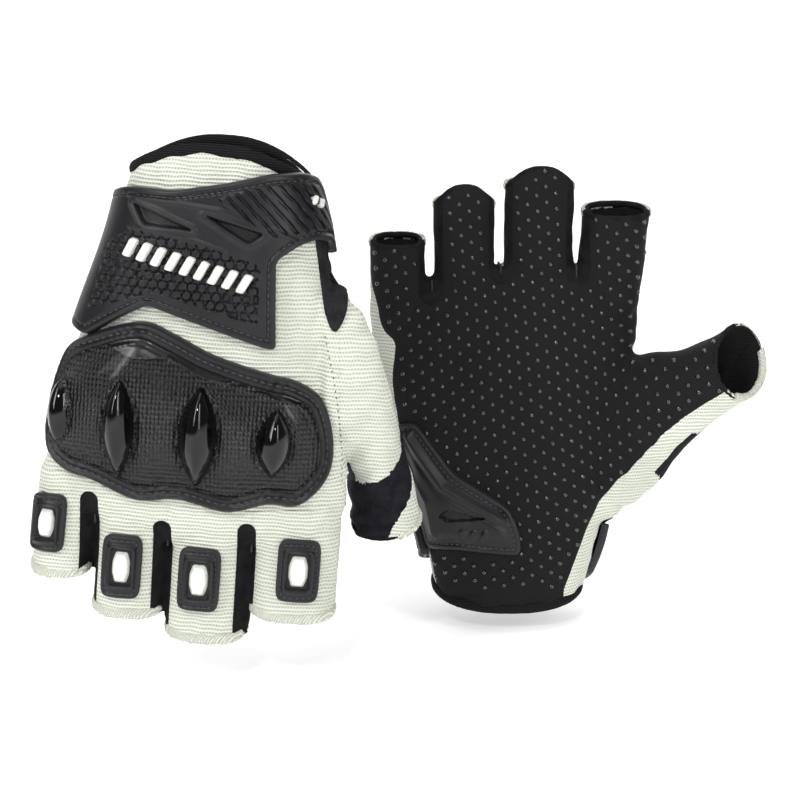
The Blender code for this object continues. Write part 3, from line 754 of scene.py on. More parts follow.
def fabric(side):
    """Cuts the skin into the knit back, palm, fourchettes, patch, stalls and thumb."""
    regions = Regions(side)
    points, tris = skin(side)
    normals = vertex_normals(points, tris)
    thumb = regions.thumb(points)
    soft = ripple(points, 5, 22.0, 0.22) + ripple(points, 8, 9.0, 0.07)
    sweep = points[:, 2] * 0.62 + points[:, 0] * 0.34 + ripple(points, 4, 30.0, 0.9)
    crease = (1 - smooth_step(np.abs(thumb - 2.0), 2.0, 13.0)) * 0.55 * np.sin(sweep)
    near_cuff = 1 - smooth_step(points[:, 2], 4.0, 26.0)
    crease += near_cuff * 0.25 * np.sin(points[:, 0] * 0.5 + points[:, 1] * 0.4)
    points = points + normals * (soft + crease)[:, None]
    labels = np.zeros(len(tris), dtype=int)

    def cut(field, bit):
        nonlocal points, tris, labels
        points, tris, labels, inside = split(points, tris, labels, field(points))
        labels = labels | np.where(inside, bit, 0)

    keep, on_thumb, finger, black, gusset, patch = 1, 2, 4, 8, 16, 32
    cut(regions.thumb, on_thumb)
    cut(lambda p: regions.kept(p, regions.thumb(p)), keep)
    tris, labels = tris[labels & keep > 0], labels[labels & keep > 0]
    points, tris = compact(points, tris)
    cut(lambda p: p[:, 2] - (hinge_line(side, p[:, 0]) - BEND_REACH[0]), finger)
    cut(lambda p: regions.palm(p, regions.thumb(p)), black)
    cut(regions.fourchette, gusset)
    cut(lambda p: regions.suede(p, regions.thumb(p)), patch)
    for i, (x, _, _) in enumerate(CROTCHES[side]):
        cut(lambda p, x=x: p[:, 0] - x, 64 << i)
    column = sum(((labels & (64 << i)) > 0).astype(int) for i in range(3))

    thumb_set = labels & on_thumb > 0
    finger_set = (labels & finger > 0) & ~thumb_set
    hand_set = ~thumb_set & ~finger_set
    is_gusset = labels & gusset > 0
    is_black = (labels & black > 0) & ~is_gusset
    is_patch = labels & patch > 0
    knit = ~is_black & ~is_gusset

    def make(name, pick, kind, body, blend, nodes):
        if pick.sum() < 12:
            return
        some, faces = compact(points, tris[pick])
        obj = new_object(f"{name}_{side}", some, faces, side)
        thicken(obj, kind)
        finish_piece(obj, side, body, blend)
        if nodes:
            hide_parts(*[f"{node}_{side}" for node in nodes])

    make("knit_back", hand_set & knit, "knit", "root", None, ["back_panel"])
    make("palm_skin", hand_set & is_black, "palm", "root", None, ["palm_panel"])
    webs = ["little_ring_fourchette", "ring_middle_fourchette", "middle_index_fourchette"]
    make("gusset_roots", hand_set & is_gusset, "gusset", "root", None, webs)
    for i, name in enumerate(FINGERS[side]):
        mine = finger_set & (column == i)
        body = f"{name}_finger_{side}"
        blend = finger_blend(side, name)
        make(f"{name}_knit", mine & knit, "knit", body, blend, [f"{name}_stall"])
        make(f"{name}_palm_side", mine & is_black, "palm", body, blend, None)
        make(f"{name}_gusset", mine & is_gusset, "gusset", body, blend, None)
    blend = thumb_blend(regions)
    body = f"thumb_{side}"
    make("thumb_knit", thumb_set & knit & ~is_patch, "knit", body, blend, ["thumb_stall"])
    make("thumb_palm_side", thumb_set & ~knit & ~is_patch, "palm", body, blend, None)
    make("thumb_suede", thumb_set & is_patch, "suede", body, blend, ["thumb_patch"])
    return regions, points, tris


def thicken(obj, kind):
    """Gives cloth its thickness, with the dark lining inside."""
    obj.data.materials.append(MATERIALS[kind])
    obj.data.materials.append(MATERIALS["lining"])
    solid = obj.modifiers.new("Cloth thickness", "SOLIDIFY")
    solid.thickness = CLOTH_THICKNESS * MM
    solid.offset = -1.0
    solid.material_offset = 1
    solid.use_quality_normals = False


# ---------------------------------------------------------------- raised plates

def relief(name, side, wrap, outline, height, base, kind, body, node=None, blend=None,
           pitch=0.55, closed=False, extras=None, hollow_past=None):
    """Moulded plate: a fine height field inside an outline, wrapped onto the glove."""
    loop = dense_loop(outline, 0.8)
    low = loop.min(axis=0) - pitch
    high = loop.max(axis=0) + pitch
    us = np.arange(low[0], high[0] + pitch, pitch)
    vs = np.arange(low[1], high[1] + pitch, pitch)
    u, v = np.meshgrid(us, vs)
    flat = np.stack((u.ravel(), v.ravel()), axis=1)
    cols = len(us)
    corner = (np.arange(len(vs) - 1)[:, None] * cols + np.arange(cols - 1)).ravel()
    tris = np.vstack((np.stack((corner, corner + 1, corner + cols + 1), axis=1),
                      np.stack((corner, corner + cols + 1, corner + cols), axis=1)))
    labels = np.zeros(len(tris), dtype=int)
    flat, tris, _, inside = split(flat, tris, labels, loop_distance(flat, loop))
    flat, tris = compact(flat, tris[inside])
    edge = np.maximum(loop_distance(flat, loop), 0.0)
    top = wrap.points(flat[:, 0], flat[:, 1], height(flat, edge))
    under = wrap.points(flat[:, 0], flat[:, 1], np.full(len(flat), float(base)))
    border = boundary_edges(tris)
    count = len(flat)
    skirt = np.vstack((np.stack((border[:, 1], border[:, 0], border[:, 0] + count), axis=1),
                       np.stack((border[:, 1], border[:, 0] + count, border[:, 1] + count), axis=1)))
    faces = [tris, skirt]
    if closed:
        faces.append(tris[:, ::-1] + count)
    points = np.vstack((top, under))
    every = np.vstack(faces)
    values = {"edge": np.concatenate((edge, np.zeros(count)))}
    for key, field in (extras or {}).items():
        values[key] = np.concatenate((field(flat, edge), np.zeros(count)))
    used, index = np.unique(every, return_inverse=True)
    obj = new_object(f"{name}_{side}", points[used], orient(points[used], index.reshape(-1, 3)), side)
    for key, field in values.items():
        add_value(obj, key, field[used])
    obj.data.set_sharp_from_angle(angle=math.radians(50))
    obj.data.materials.append(MATERIALS[kind])
    if hollow_past is not None:
        drop_inside(obj, hollow_past)
    finish_piece(obj, side, body, blend)
    if node:
        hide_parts(f"{node}_{side}")
    return obj


def orient(points, tris):
    """Turns all triangles together, so that the plate's face looks away from the hand."""
    a, b, c = (points[tris[:, k]] for k in range(3))
    middle = points.mean(axis=0)
    lean = np.sum(np.cross(b - a, c - a)[:, 1] * np.sign(middle[1]))
    return tris if lean > 0 else tris[:, ::-1]


def boundary_edges(tris):
    ends = np.vstack((tris[:, [0, 1]], tris[:, [1, 2]], tris[:, [2, 0]]))
    _, index, count = np.unique(np.sort(ends, axis=1), axis=0, return_inverse=True, return_counts=True)
    return ends[count[index.reshape(-1)] == 1]


def rounded_edge(edge, radius):
    """Rise of a rounded rim: 0 at the outline, 1 from radius inwards."""
    share = np.clip(edge / radius, 0.0, 1.0)
    return np.sqrt(1 - (1 - share) ** 2)


def ridge(distance, width):
    return np.exp(-(distance / width) ** 2)


def bump_field(flat):
    """Height of the pointed bumps, and how deep the slots beside them are."""
    height = np.zeros(len(flat))
    slot = np.zeros(len(flat))
    for bump in KNUCKLE_BUMPS:
        along = (2 * flat[:, 1] - bump.low - bump.high) / (bump.high - bump.low)
        reach = np.clip(1 - along ** 2, 0.0, 1.0)
        half = bump.width / 2 * reach ** 0.8 + 1e-3
        across = (flat[:, 0] - bump.arc) / half
        body = np.where(np.abs(along) < 1, np.clip(1 - np.abs(across) ** 1.7, 0.0, 1.0), 0.0)
        rise = bump.height * reach ** 0.55 * body ** 0.85
        height = np.maximum(height, rise)
        outside = (np.abs(across) - 1) * half
        lens = np.clip(1 - (along * 1.25) ** 2, 0.0, 1.0)
        slot = np.maximum(slot, lens * ridge(outside - 0.5, 0.65))
    return height, slot


def guard_outline():
    return closed_curve(KNUCKLE_OUTLINE, 240) + GUARD_SHIFT


def knuckle_guard(side):
    """Shell with pointed bumps, the welt around it and the welt's stitches."""
    outline = guard_outline()

    def shell_height(flat, edge):
        bumps, slot = bump_field(flat)
        inner = np.maximum(edge - WELT_WIDTH, 0.0)
        dome = 3.0 + 4.3 * (1 - np.exp(-inner / 6.5))
        lip = 0.5 * ridge(inner - 1.2, 0.5)
        return dome + lip + bumps - 0.9 * slot

    def zone(flat, _edge):
        wave = 4.0 * np.abs(np.sin((flat[:, 0] + 9.0) * 0.13)) + 0.10 * flat[:, 0]
        return smooth_step(flat[:, 1] - (62.5 + wave + 0.12 * flat[:, 0]), 0.0, 0.8)

    def bump_zone(flat, _edge):
        return np.clip(bump_field(flat)[0] * 1.5, 0.0, 1.0)

    # mask for the painted shade that darkens the slots beside the bumps
    def slot_painted_shade(flat, _edge):
        return bump_field(flat)[1]

    inset = WELT_WIDTH - 0.3
    relief("guard_shell", side, HAND_WRAP, inset_by_distance(outline, inset),
           lambda f, e: shell_height(f, e + WELT_WIDTH - 0.3), 0.8, "shell", "root", "knuckle_guard",
           pitch=0.5, extras={"scales": zone, "bump_zone": bump_zone, "slot_painted_shade": slot_painted_shade})

    def welt_height(_flat, edge):
        rim = 2.3 * rounded_edge(edge, 1.0)
        ridges = 0.75 * ridge(edge - 1.6, 0.65) + 0.95 * ridge(edge - 4.2, 0.75)
        groove = -0.25 * ridge(edge - 2.9, 0.35)
        return 0.4 + rim + ridges + groove - 0.6 * smooth_step(edge, 5.0, 6.2)

    relief("guard_welt", side, HAND_WRAP, outline, welt_height, -0.6, "rubber", "root",
           "knuckle_guard_welt", pitch=0.6, hollow_past=7.2)
    stitch_line("guard_stitches", side, HAND_WRAP, inset_by_distance(outline, 2.9), 2.75, "root",
                length=1.5, space=0.9)


def drop_inside(obj, depth):
    """Removes the hidden middle of a plate, past a distance from its outline."""
    bm = bmesh.new()
    bm.from_mesh(obj.data)
    layer = bm.verts.layers.float["edge"]
    gone = [v for v in bm.verts if v[layer] > depth]
    bmesh.ops.delete(bm, geom=gone, context="VERTS")
    bm.to_mesh(obj.data)
    bm.free()


def inset_by_distance(loop, distance):
    """Loop moved inwards, with its kinks left out."""
    loop = dense_loop(loop, 0.7)
    tangent = np.roll(loop, -2, axis=0) - np.roll(loop, 2, axis=0)
    normal = unit(np.stack((-tangent[:, 1], tangent[:, 0]), axis=1))
    area = np.sum(loop[:, 0] * np.roll(loop[:, 1], -1) - np.roll(loop[:, 0], -1) * loop[:, 1])
    moved = loop + math.copysign(distance, area) * normal
    kept = loop_distance(moved, loop) > distance - 0.12
    return dense_loop(moved[kept], 0.7)


# ---------------------------------------------------------------- stitches and dots

def capsule_strip(starts, ends, ups, radius):
    """Little rounded threads lying from starts to ends."""
    along = ends - starts
    length = np.linalg.norm(along, axis=1, keepdims=True)
    along = along / length
    across = np.cross(along, ups)
    across /= np.maximum(np.linalg.norm(across, axis=1, keepdims=True), 1e-9)
    ups = np.cross(across, along)
    profile = ((0.0, 0.25), (0.14, 0.85), (0.5, 1.1), (0.86, 0.85), (1.0, 0.25))
    sides = 6
    rings = []
    for share, size in profile:
        centre = starts + along * length * share
        for k in range(sides):
            turn = 2 * math.pi * k / sides
            offset = across * math.cos(turn) + ups * math.sin(turn) * 0.8
            rings.append(centre + offset * radius * size)
    faces = repeated(tube_faces(len(profile), sides), len(profile) * sides, len(starts))
    return np.stack(rings, axis=1).reshape(-1, 3), faces


def stitch_line(name, side, wrap, line, lift, body, closed=True, length=1.6, space=1.0, radius=0.22,
                blend=None):
    """Stitches along a line of (arc, height) on a wrap."""
    fine = np.vstack((line, line[:1])) if closed else line
    run = run_along(fine)
    begin = np.arange(0.0, run[-1] - length, length + space)
    spots = [np.stack([np.interp(begin + off, run, fine[:, k]) for k in (0, 1)], axis=1)
             for off in (0.0, length)]
    low = [wrap.points(s[:, 0], s[:, 1], lift) for s in spots]
    high = wrap.points(spots[0][:, 0], spots[0][:, 1], lift + 1.0)
    points, faces = capsule_strip(low[0], low[1], high - low[0], radius)
    add_piece(name, points, faces, side, "thread", body, blend)


DOT_STEPS = np.array(((7.0, 0.8), (3.7, -2.4)))
DOT_ORIGIN = (3.0, 70.0)
DOT_RADIUS = 0.95
DOT_LEVELS = ((1.05, -0.25), (0.98, 0.15), (0.84, 0.42), (0.60, 0.64), (0.30, 0.78))    # width, rise


def silicone_dots(side, regions, points, tris):
    """Grip dots on the palm fabric, on each moving part of it."""
    tree = surface_tree(points, tris.tolist())
    spots = []
    for i in range(-45, 46):
        for j in range(-90, 91):
            x, z = DOT_STEPS.T @ (i, j) + DOT_ORIGIN
            if -50 < x < 100 and 6 < z < 162:
                spots.append((x, z))
    hits = []
    for x, z in spots:
        hit, normal, _, _ = tree.ray_cast(Vector((x, -70.0, z)), Vector((0.0, 1.0, 0.0)))
        if hit is not None and normal.y < -0.28:
            hits.append((*hit, *normal))
    hits = np.array(hits)
    places, normals = hits[:, :3], hits[:, 3:]
    thumb = regions.thumb(places)
    good = (regions.palm(places, thumb) > 1.2) & (regions.kept(places, thumb) > 1.6)
    good &= regions.fourchette(places) < -1.2
    good &= ~((regions.suede(places, thumb) > -1.0) & (thumb > 0))
    good &= loop_distance(places[:, [0, 2]], closed_curve(HEEL_OUTLINE, 60)) <= -1.5
    on_finger = (places[:, 2] > hinge_line(side, places[:, 0]) - BEND_REACH[0]) & (thumb < 0)
    group = np.where(thumb > 0, 5, 0)
    for i, (_, low, high) in enumerate(regions.columns()):
        group = np.where(on_finger & (places[:, 0] > low) & (places[:, 0] <= high), i + 1, group)
    jobs = [("hand", "root", None)]
    jobs += [(name, f"{name}_finger_{side}", finger_blend(side, name)) for name in FINGERS[side]]
    jobs.append(("thumb", f"thumb_{side}", thumb_blend(regions)))
    for number, (name, body, blend) in enumerate(jobs):
        pick = good & (group == number)
        if pick.any():
            some, faces = dome_field(places[pick], normals[pick])
            add_piece(f"grip_dots_{name}", some, faces, side, "dots", body, blend)


def dome_field(places, normals):
    """Low domes with open bottoms, one at each place."""
    ups = unit(normals)
    side = unit(np.cross(ups, (0.0, 0.0, 1.0)))
    other = np.cross(ups, side)
    rings = []
    sides = 10
    for wide, tall in DOT_LEVELS:
        for k in range(sides):
            turn = 2 * math.pi * k / sides
            across = side * math.cos(turn) + other * math.sin(turn)
            rings.append(places + DOT_RADIUS * (wide * across + ups * tall))
    rings.append(places + ups * DOT_RADIUS * 0.84)
    last = (len(DOT_LEVELS) - 1) * sides
    faces = ring_quads(len(DOT_LEVELS), sides, inward=True)
    faces += [(last + (k + 1) % sides, last + k, last + sides) for k in range(sides)]
    return np.stack(rings, axis=1).reshape(-1, 3), repeated(faces, len(rings), len(places))


# ---------------------------------------------------------------- strap

RIB_FIELD = ((1.0, 11.5), (12.0, 7.0), (27.0, 4.0), (35.0, 5.5), (42.0, 13.0), (44.0, 22.0),
             (31.0, 19.0), (17.0, 22.0))
HEX_FIELD = ((-24.0, 22.5), (-2.0, 26.0), (14.6, 30.5), (16.4, 49.5), (-16.0, 41.5), (-28.0, 46.0),
             (-37.0, 49.0), (-34.0, 28.0))
WINDOWS = (((-24.5, 14.4), (-5.5, 21.6), (-21.0, 20.8)), ((-3.0, 16.4), (15.0, 21.0), (10.8, 24.4)))
HEX_PITCH = 3.0
HEX_HOLES = ((-27.0, 34.0), (-22.0, 37.0), (-31.0, 42.0), (10.5, 37.0), (6.0, 42.0), (13.5, 42.0),
             (10.5, 46.0))
STRAP_RIDGES = (((-26.0, 12.4), (2.0, 14.8), (18.0, 20.0), (24.0, 22.5)),
                ((-25.0, 22.0), (-8.0, 23.8), (4.0, 27.0)))
RIB_PITCH = 2.75
RIB_DIRECTION = (0.68, 0.73)


def hex_edge(flat):
    """Distance to the nearest edge of a honeycomb, and each point's cell centre."""
    step = np.array((HEX_PITCH, HEX_PITCH * math.sqrt(3.0)))
    best = np.full(len(flat), np.inf)
    second = np.full(len(flat), np.inf)
    centre = np.zeros_like(flat)
    base = np.floor(flat / step)
    for i in (-1, 0, 1, 2):
        for j in (-1, 0, 1, 2):
            for shift in (0.0, 0.5):
                spot = (base + (i + shift, j + shift)) * step
                dist = np.linalg.norm(flat - spot, axis=1)
                closer = dist < best
                second = np.where(closer, best, np.minimum(second, dist))
                centre[closer] = spot[closer]
                best = np.minimum(best, dist)
    return (second - best) / 2, centre


def strap_height(flat, edge):
    """Relief of the strap: rim groove, slanted ribs, honeycomb, windows and ridges."""
    base = STRAP_LIFT + 0.5
    full = STRAP_THICKNESS - 0.5
    height = base + full * rounded_edge(edge, 0.8)
    height -= 0.55 * smooth_step(edge, 1.9, 2.2) * (1 - smooth_step(edge, 2.7, 3.0))
    ribs = np.minimum(loop_distance(flat, np.array(RIB_FIELD)), edge - 3.2)
    run = flat @ (RIB_DIRECTION[1], -RIB_DIRECTION[0])
    wave = np.abs(np.mod(run / RIB_PITCH, 1.0) - 0.5) * 2
    bars = smooth_step(wave, 0.26, 0.42)
    inside = smooth_step(ribs, 0.0, 0.5)
    height += inside * (-0.75 + 0.95 * bars)
    cells = np.minimum(loop_distance(flat, np.array(HEX_FIELD)), edge - 3.2)
    gap, centre = hex_edge(flat)
    inside = smooth_step(cells, 0.0, 0.4)
    height -= inside * 0.75 * (1 - smooth_step(gap, 0.12, 0.42))
    for hole in HEX_HOLES:
        mine = np.linalg.norm(centre - np.array(hole), axis=1) < HEX_PITCH * 0.58
        height -= np.where(mine, inside * 1.5 * smooth_step(gap, 0.2, 0.5), 0.0)
    for window in WINDOWS:
        near = loop_distance(flat, rounded_polygon(window, 1.2))
        height += 0.55 * ridge(near + 0.9, 0.7)
        height -= 1.9 * smooth_step(near, 0.0, 0.45)
    for line in STRAP_RIDGES:
        height += 0.45 * ridge(np.abs(polyline_side(flat, line)), 0.6)
    return height


def wrist_strap(side):
    """Strap, its stitches and its plain raised bars."""
    outline = rounded_polygon(STRAP_OUTLINE, 2.0)
    body = f"strap_{side}"
    relief("moulded_strap", side, HAND_WRAP, outline, strap_height, STRAP_LIFT - 0.4, "rubber", body,
           "wrist_strap", STRAP_BEND, pitch=0.36, closed=True)
    stitch_line("strap_stitches", side, HAND_WRAP, inset_by_distance(outline, 2.45), STRAP_TOP - 0.45,
                body, length=1.3, space=0.75, radius=0.2, blend=STRAP_BEND)
    bars = []
    for share in np.linspace(0.03, 0.97, 9):
        x = -25.5 + share * 37.0
        z = 28.0 + share * 8.8
        bars.append(((x + 0.3, z - 3.2), (x + 3.0, z - 2.5), (x + 0.4, z + 3.4), (x - 2.3, z + 2.7)))
    for x, z in ((29.8, 9.5), (32.6, 10.4)):
        bars.append(((x, z - 1.6), (x + 1.5, z - 1.2), (x + 0.2, z + 1.9), (x - 1.3, z + 1.5)))

    def bar_height(_flat, edge):
        return STRAP_TOP - 0.2 + 1.5 * rounded_edge(edge, 0.55)

    for i, bar in enumerate(bars):
        relief(f"strap_bar_{i + 1}", side, HAND_WRAP, rounded_polygon(bar, 0.7), bar_height,
               STRAP_TOP - 0.7, "white", body, None if i else "strap_badge", pitch=0.3)


class Drape:
    """Maps (x, height, lift) straight down onto the back of the finished skin."""

    def __init__(self, points, tris):
        self.tree = surface_tree(points, tris.tolist())

    def points(self, x, z, lift):
        lift = np.broadcast_to(lift, np.shape(x))
        out = []
        for px, pz, rise in zip(x, z, lift):
            hit, normal, _, _ = self.tree.ray_cast(Vector((px, 70.0, pz)), Vector((0.0, -1.0, 0.0)))
            if hit is None:
                hit, normal, _, _ = self.tree.find_nearest(Vector((px, 0.0, pz)))
            out.append(hit + normal * float(rise))
        return np.array(out)


def loop_tab(side, drape):
    outline = closed_curve(LOOP_OUTLINE, 60)

    def height(_flat, edge):
        return 0.3 + 0.9 * rounded_edge(edge, 0.7) - 0.35 * smooth_step(edge, 1.4, 1.9)

    relief("loop_tab", side, drape, outline, height, -0.6, "loop", "root", "loop_patch", pitch=0.5)


# ---------------------------------------------------------------- finger caps, heel guard

STONE = np.array(((-0.32, -0.5), (0.32, -0.5), (0.5, -0.18), (0.5, 0.18), (0.32, 0.5), (-0.32, 0.5),
                  (-0.5, 0.18), (-0.5, -0.18)))      # the inlay's outline, as shares of its size


def rounded_box(width, length, corner):
    turns = full_turn(64)
    return np.stack((width / 2 * signed_power(np.sin(turns), 2 / corner),
                     length / 2 * signed_power(np.cos(turns), 2 / corner)), axis=1)


def finger_caps(side):
    """Rubber frame, white inlay and stitches on the back of each finger."""
    for name, (width, length, z, arc) in CAP_SIZES.items():
        finger = FINGERS[side][name]
        wrap = Wrap(lambda level, f=finger: finger_section(f, level), z - 16, z + 16)
        place = np.array((arc, z))
        body = f"{name}_finger_{side}"
        outline = rounded_box(width, length, 6.0) + place
        tray = rounded_box(width * 0.62, length * 0.64, 7.0) + place

        def height(flat, edge, tray=tray):
            rise = 0.5 + 1.7 * rounded_edge(edge, 0.7)
            groove = 0.4 * ridge(edge - 1.7, 0.35)
            bezel = loop_distance(flat, tray)
            return rise - groove + 0.9 * ridge(bezel, 0.6) - 0.9 * smooth_step(bezel, 0.6, 1.0)

        relief(f"{name}_cap_frame", side, wrap, outline, height, -0.8, "rubber", body, f"{name}_cap",
               pitch=0.3)
        stone = STONE * (width * 0.47, length * 0.50) + place
        relief(f"{name}_inlay", side, wrap, rounded_polygon(stone, 0.5),
               lambda _f, e: 1.0 + 1.6 * np.clip(e / 1.1, 0.0, 1.0), 0.4, "white", body,
               f"{name}_cap_inlay", pitch=0.22)
        stitch_line(f"{name}_cap_stitches", side, wrap, inset_by_distance(outline, 1.7), 1.95, body,
                    length=1.0, space=0.7, radius=0.16)


HEEL_SLOT = ((-27.0, 33.2), (-23.5, 36.0), (-9.5, 33.0), (-24.0, 31.4))
HEEL_MARKS = [np.array(((0.0, 24.0), (2.5, 24.0), (5.0, 29.0), (2.5, 29.0))) + (x, 0.0)
              for x in (-21.5, -17.5, -13.5)]
HEEL_RIB = ((-37.0, 62.0), (-25.0, 44.5), (-14.0, 38.0), (-5.0, 33.0))
HEEL_SIDE_RIB = ((-39.0, 52.0), (-31.0, 38.0), (-29.0, 25.0))


def heel_guard(side):
    """Moulded palm pad with a long rib, a slot and three plain slanted marks."""
    outline = rounded_polygon(HEEL_OUTLINE, 3.5)

    def height(flat, edge):
        rise = 0.4 + 1.5 * rounded_edge(edge, 1.0)
        rise -= 0.5 * ridge(edge - 2.4, 0.4)
        rise += 1.3 * smooth_step(edge, 3.2, 7.5)
        spine = np.abs(polyline_side(flat, HEEL_RIB))
        rise += 1.0 * ridge(spine, 1.2) - 0.5 * ridge(spine - 2.6, 0.6)
        rise += 0.7 * ridge(np.abs(polyline_side(flat, HEEL_SIDE_RIB)), 0.9)
        rise -= 1.6 * smooth_step(loop_distance(flat, np.array(HEEL_SLOT)), 0.0, 0.35)
        for mark in HEEL_MARKS:
            rise += 0.5 * smooth_step(loop_distance(flat, mark), 0.0, 0.4)
        return rise

    relief("heel_pad", side, PALM_WRAP, outline, height, -0.8, "rubber", "root", "palm_heel_guard",
           pitch=0.45)
    stitch_line("heel_stitches", side, PALM_WRAP, inset_by_distance(outline, 2.4), 1.75, "root",
                length=1.2, space=0.8)


# ---------------------------------------------------------------- edges

def edge_roll(name, side, centres, outs, ups, kind, size, body, blend=None, closed=False, rough=0.05):
    """Soft rolled edge: an oval tube along a row of points; size is how thick and how tall."""
    sides = 10
    turns = full_turn(sides)
    count = len(centres)
    thick, tall = size
    across, up = outs[:, None], ups[:, None]
    cosines, sines = np.cos(turns), np.sin(turns)
    points = (centres[:, None] + across * (thick * cosines)[None, :, None]
              + up * (tall * sines)[None, :, None]).reshape(-1, 3)
    normals = (across * cosines[None, :, None] + up * sines[None, :, None]).reshape(-1, 3)
    points = points + normals * ripple(points, 3, 2.2, rough)[:, None]
    faces = ring_quads(count, sides, closed, inward=True)
    if not closed:
        faces += [tuple(range(sides)), tuple(range((count - 1) * sides, count * sides))[::-1]]
    return add_piece(name, points, faces, side, kind, body, blend)


def section_ring(section, turns, z, lift):
    """Points around a section at heights z, with each one's way out and way up."""
    x, y = oval_point(section, turns, lift)
    x2, y2 = oval_point(section, turns, lift + 1.0)
    outs = np.stack((x2 - x, y2 - y, np.zeros_like(z)), axis=1)
    return np.stack((x, y, z), axis=1), outs, np.tile((0.0, 0.0, 1.0), (len(turns), 1))


def cuff_binding(side):
    turns = full_turn(160)
    z = cuff_edge(side, turns) + 0.9
    roll = edge_roll("cuff_tape", side, *section_ring(hand_section(z), turns, z, -0.4), "binding",
                     (1.1, 2.0), "root", closed=True)
    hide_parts(f"cuff_binding_{side}")


HEM_ROUGH = 0.16
FINGER_HEMS = (               # piece, first and last turn, kind, thick and tall, lift, rise, roughness
    ("hem", -94.0, 94.0, "hem", (0.85, 1.7), -0.3, 0.0, HEM_ROUGH),
    ("palm_hem", 94.0, 266.0, "gusset", (0.7, 1.1), -0.6, 0.0, 0.05),
    ("lining_hem", -120.0, 120.0, "gusset", (0.7, 1.1), -1.5, 0.5, 0.05),
)
THUMB_HEMS = (
    ("hem", 20.0, 140.0, "hem", (1.25, 1.6), HEM_ROUGH),
    ("palm_hem", 140.0, 380.0, "gusset", (0.8, 0.8), 0.05),
)


def finger_hems(side):
    for name, finger in FINGERS[side].items():
        for part, low, high, kind, size, lift, rise, rough in FINGER_HEMS:
            turns = np.radians(np.linspace(low, high, 60))
            z = stall_hem(finger, turns) + rise
            ring = section_ring(finger_section(finger, z), turns, z - 0.9, lift)
            edge_roll(f"{name}_{part}", side, *ring, kind, size, f"{name}_finger_{side}",
                      finger_blend(side, name), rough=rough)


def thumb_hems(side, regions):
    for part, low, high, kind, size, rough in THUMB_HEMS:
        turns = np.radians(np.linspace(low, high, 70))
        rows = thumb_rim(side, turns)
        centres = thumb_points(side, rows, turns, -0.7)
        outs = thumb_points(side, rows, turns, 0.3) - centres
        along = thumb_frames(side, rows)[5]
        edge_roll(f"thumb_{part}", side, centres, outs, along, kind, size, f"thumb_{side}",
                  thumb_blend(regions), rough=rough)


# ---------------------------------------------------------------- materials

class Look:
    """A node material with the few helpers that the recipes below need."""

    def __init__(self, name, colour, roughness, **settings):
        self.material = bpy.data.materials.new(name)
        self.material.use_nodes = True
        self.tree = self.material.node_tree
        self.shader = self.tree.nodes["Principled BSDF"]
        self.shader.inputs["Base Color"].default_value = (*colour, 1.0)
        self.shader.inputs["Roughness"].default_value = roughness
        for key, value in settings.items():
            self.shader.inputs[key.replace("_", " ")].default_value = value

    def node(self, kind, **settings):
        made = self.tree.nodes.new(kind)
        for key, value in settings.items():
            setattr(made, key, value)
        return made

    def link(self, source, target):
        self.tree.links.new(source, target)

    def rest(self):
        """Coordinates on the glove in millimetres, the same at every pose."""
        return self.node("ShaderNodeAttribute", attribute_name="rest").outputs["Vector"]

    def value(self, name):
        return self.node("ShaderNodeAttribute", attribute_name=name).outputs["Fac"]

    def math(self, operation, *items):
        made = self.node("ShaderNodeMath", operation=operation)
        for socket, item in zip(made.inputs, items):
            if isinstance(item, (int, float)):
                socket.default_value = item
            else:
                self.link(item, socket)
        return made.outputs[0]

    def plus(self, a, b):
        return self.math("ADD", a, b)

    def minus(self, a, b):
        return self.math("SUBTRACT", a, b)

    def times(self, a, b):
        return self.math("MULTIPLY", a, b)

    def capped(self, value):
        """1 at 0, falling to 0 at 1 and beyond."""
        return self.minus(1.0, self.math("MINIMUM", value, 1.0))

    def rim(self, width):
        """1 at a plate's outline, 0 from width inwards."""
        return self.capped(self.math("DIVIDE", self.value("edge"), width))

    def axis(self, vector, axis):
        made = self.node("ShaderNodeSeparateXYZ")
        self.link(vector, made.inputs[0])
        return made.outputs[axis]

    def noise(self, vector, scale, detail=3.0, roughness=0.6):
        made = self.node("ShaderNodeTexNoise")
        made.inputs["Scale"].default_value = scale
        made.inputs["Detail"].default_value = detail
        made.inputs["Roughness"].default_value = roughness
        self.link(vector, made.inputs["Vector"])
        return made.outputs["Fac"]

    def wave(self, value, period):
        """0 to 1 and back over each period."""
        turned = self.times(value, 2 * math.pi / period)
        return self.math("MULTIPLY_ADD", self.math("SINE", turned), 0.5, 0.5)

    def ramp(self, value, low, high, start=0.0, end=1.0):
        made = self.node("ShaderNodeValToRGB")
        made.color_ramp.elements[0].position = start
        made.color_ramp.elements[1].position = end
        made.color_ramp.elements[0].color = (*low, 1.0)
        made.color_ramp.elements[1].color = (*high, 1.0)
        self.link(value, made.inputs["Fac"])
        return made.outputs["Color"]

    def mix(self, share, first, second):
        made = self.node("ShaderNodeMix", data_type="RGBA")
        for socket, item in ((made.inputs[0], share), (made.inputs[6], first), (made.inputs[7], second)):
            if isinstance(item, tuple):
                socket.default_value = (*item, 1.0)
            elif isinstance(item, (int, float)):
                socket.default_value = item
            else:
                self.link(item, socket)
        return made.outputs[2]

    def colour(self, source):
        self.link(source, self.shader.inputs["Base Color"])

    def roughness(self, source, low, high):
        made = self.node("ShaderNodeMapRange")
        made.inputs["To Min"].default_value = low
        made.inputs["To Max"].default_value = high
        self.link(source, made.inputs["Value"])
        self.link(made.outputs["Result"], self.shader.inputs["Roughness"])

    def bump(self, height, strength, distance):
        made = self.node("ShaderNodeBump")
        made.inputs["Strength"].default_value = strength
        made.inputs["Distance"].default_value = distance * MM
        self.link(height, made.inputs["Height"])
        self.link(made.outputs["Normal"], self.shader.inputs["Normal"])


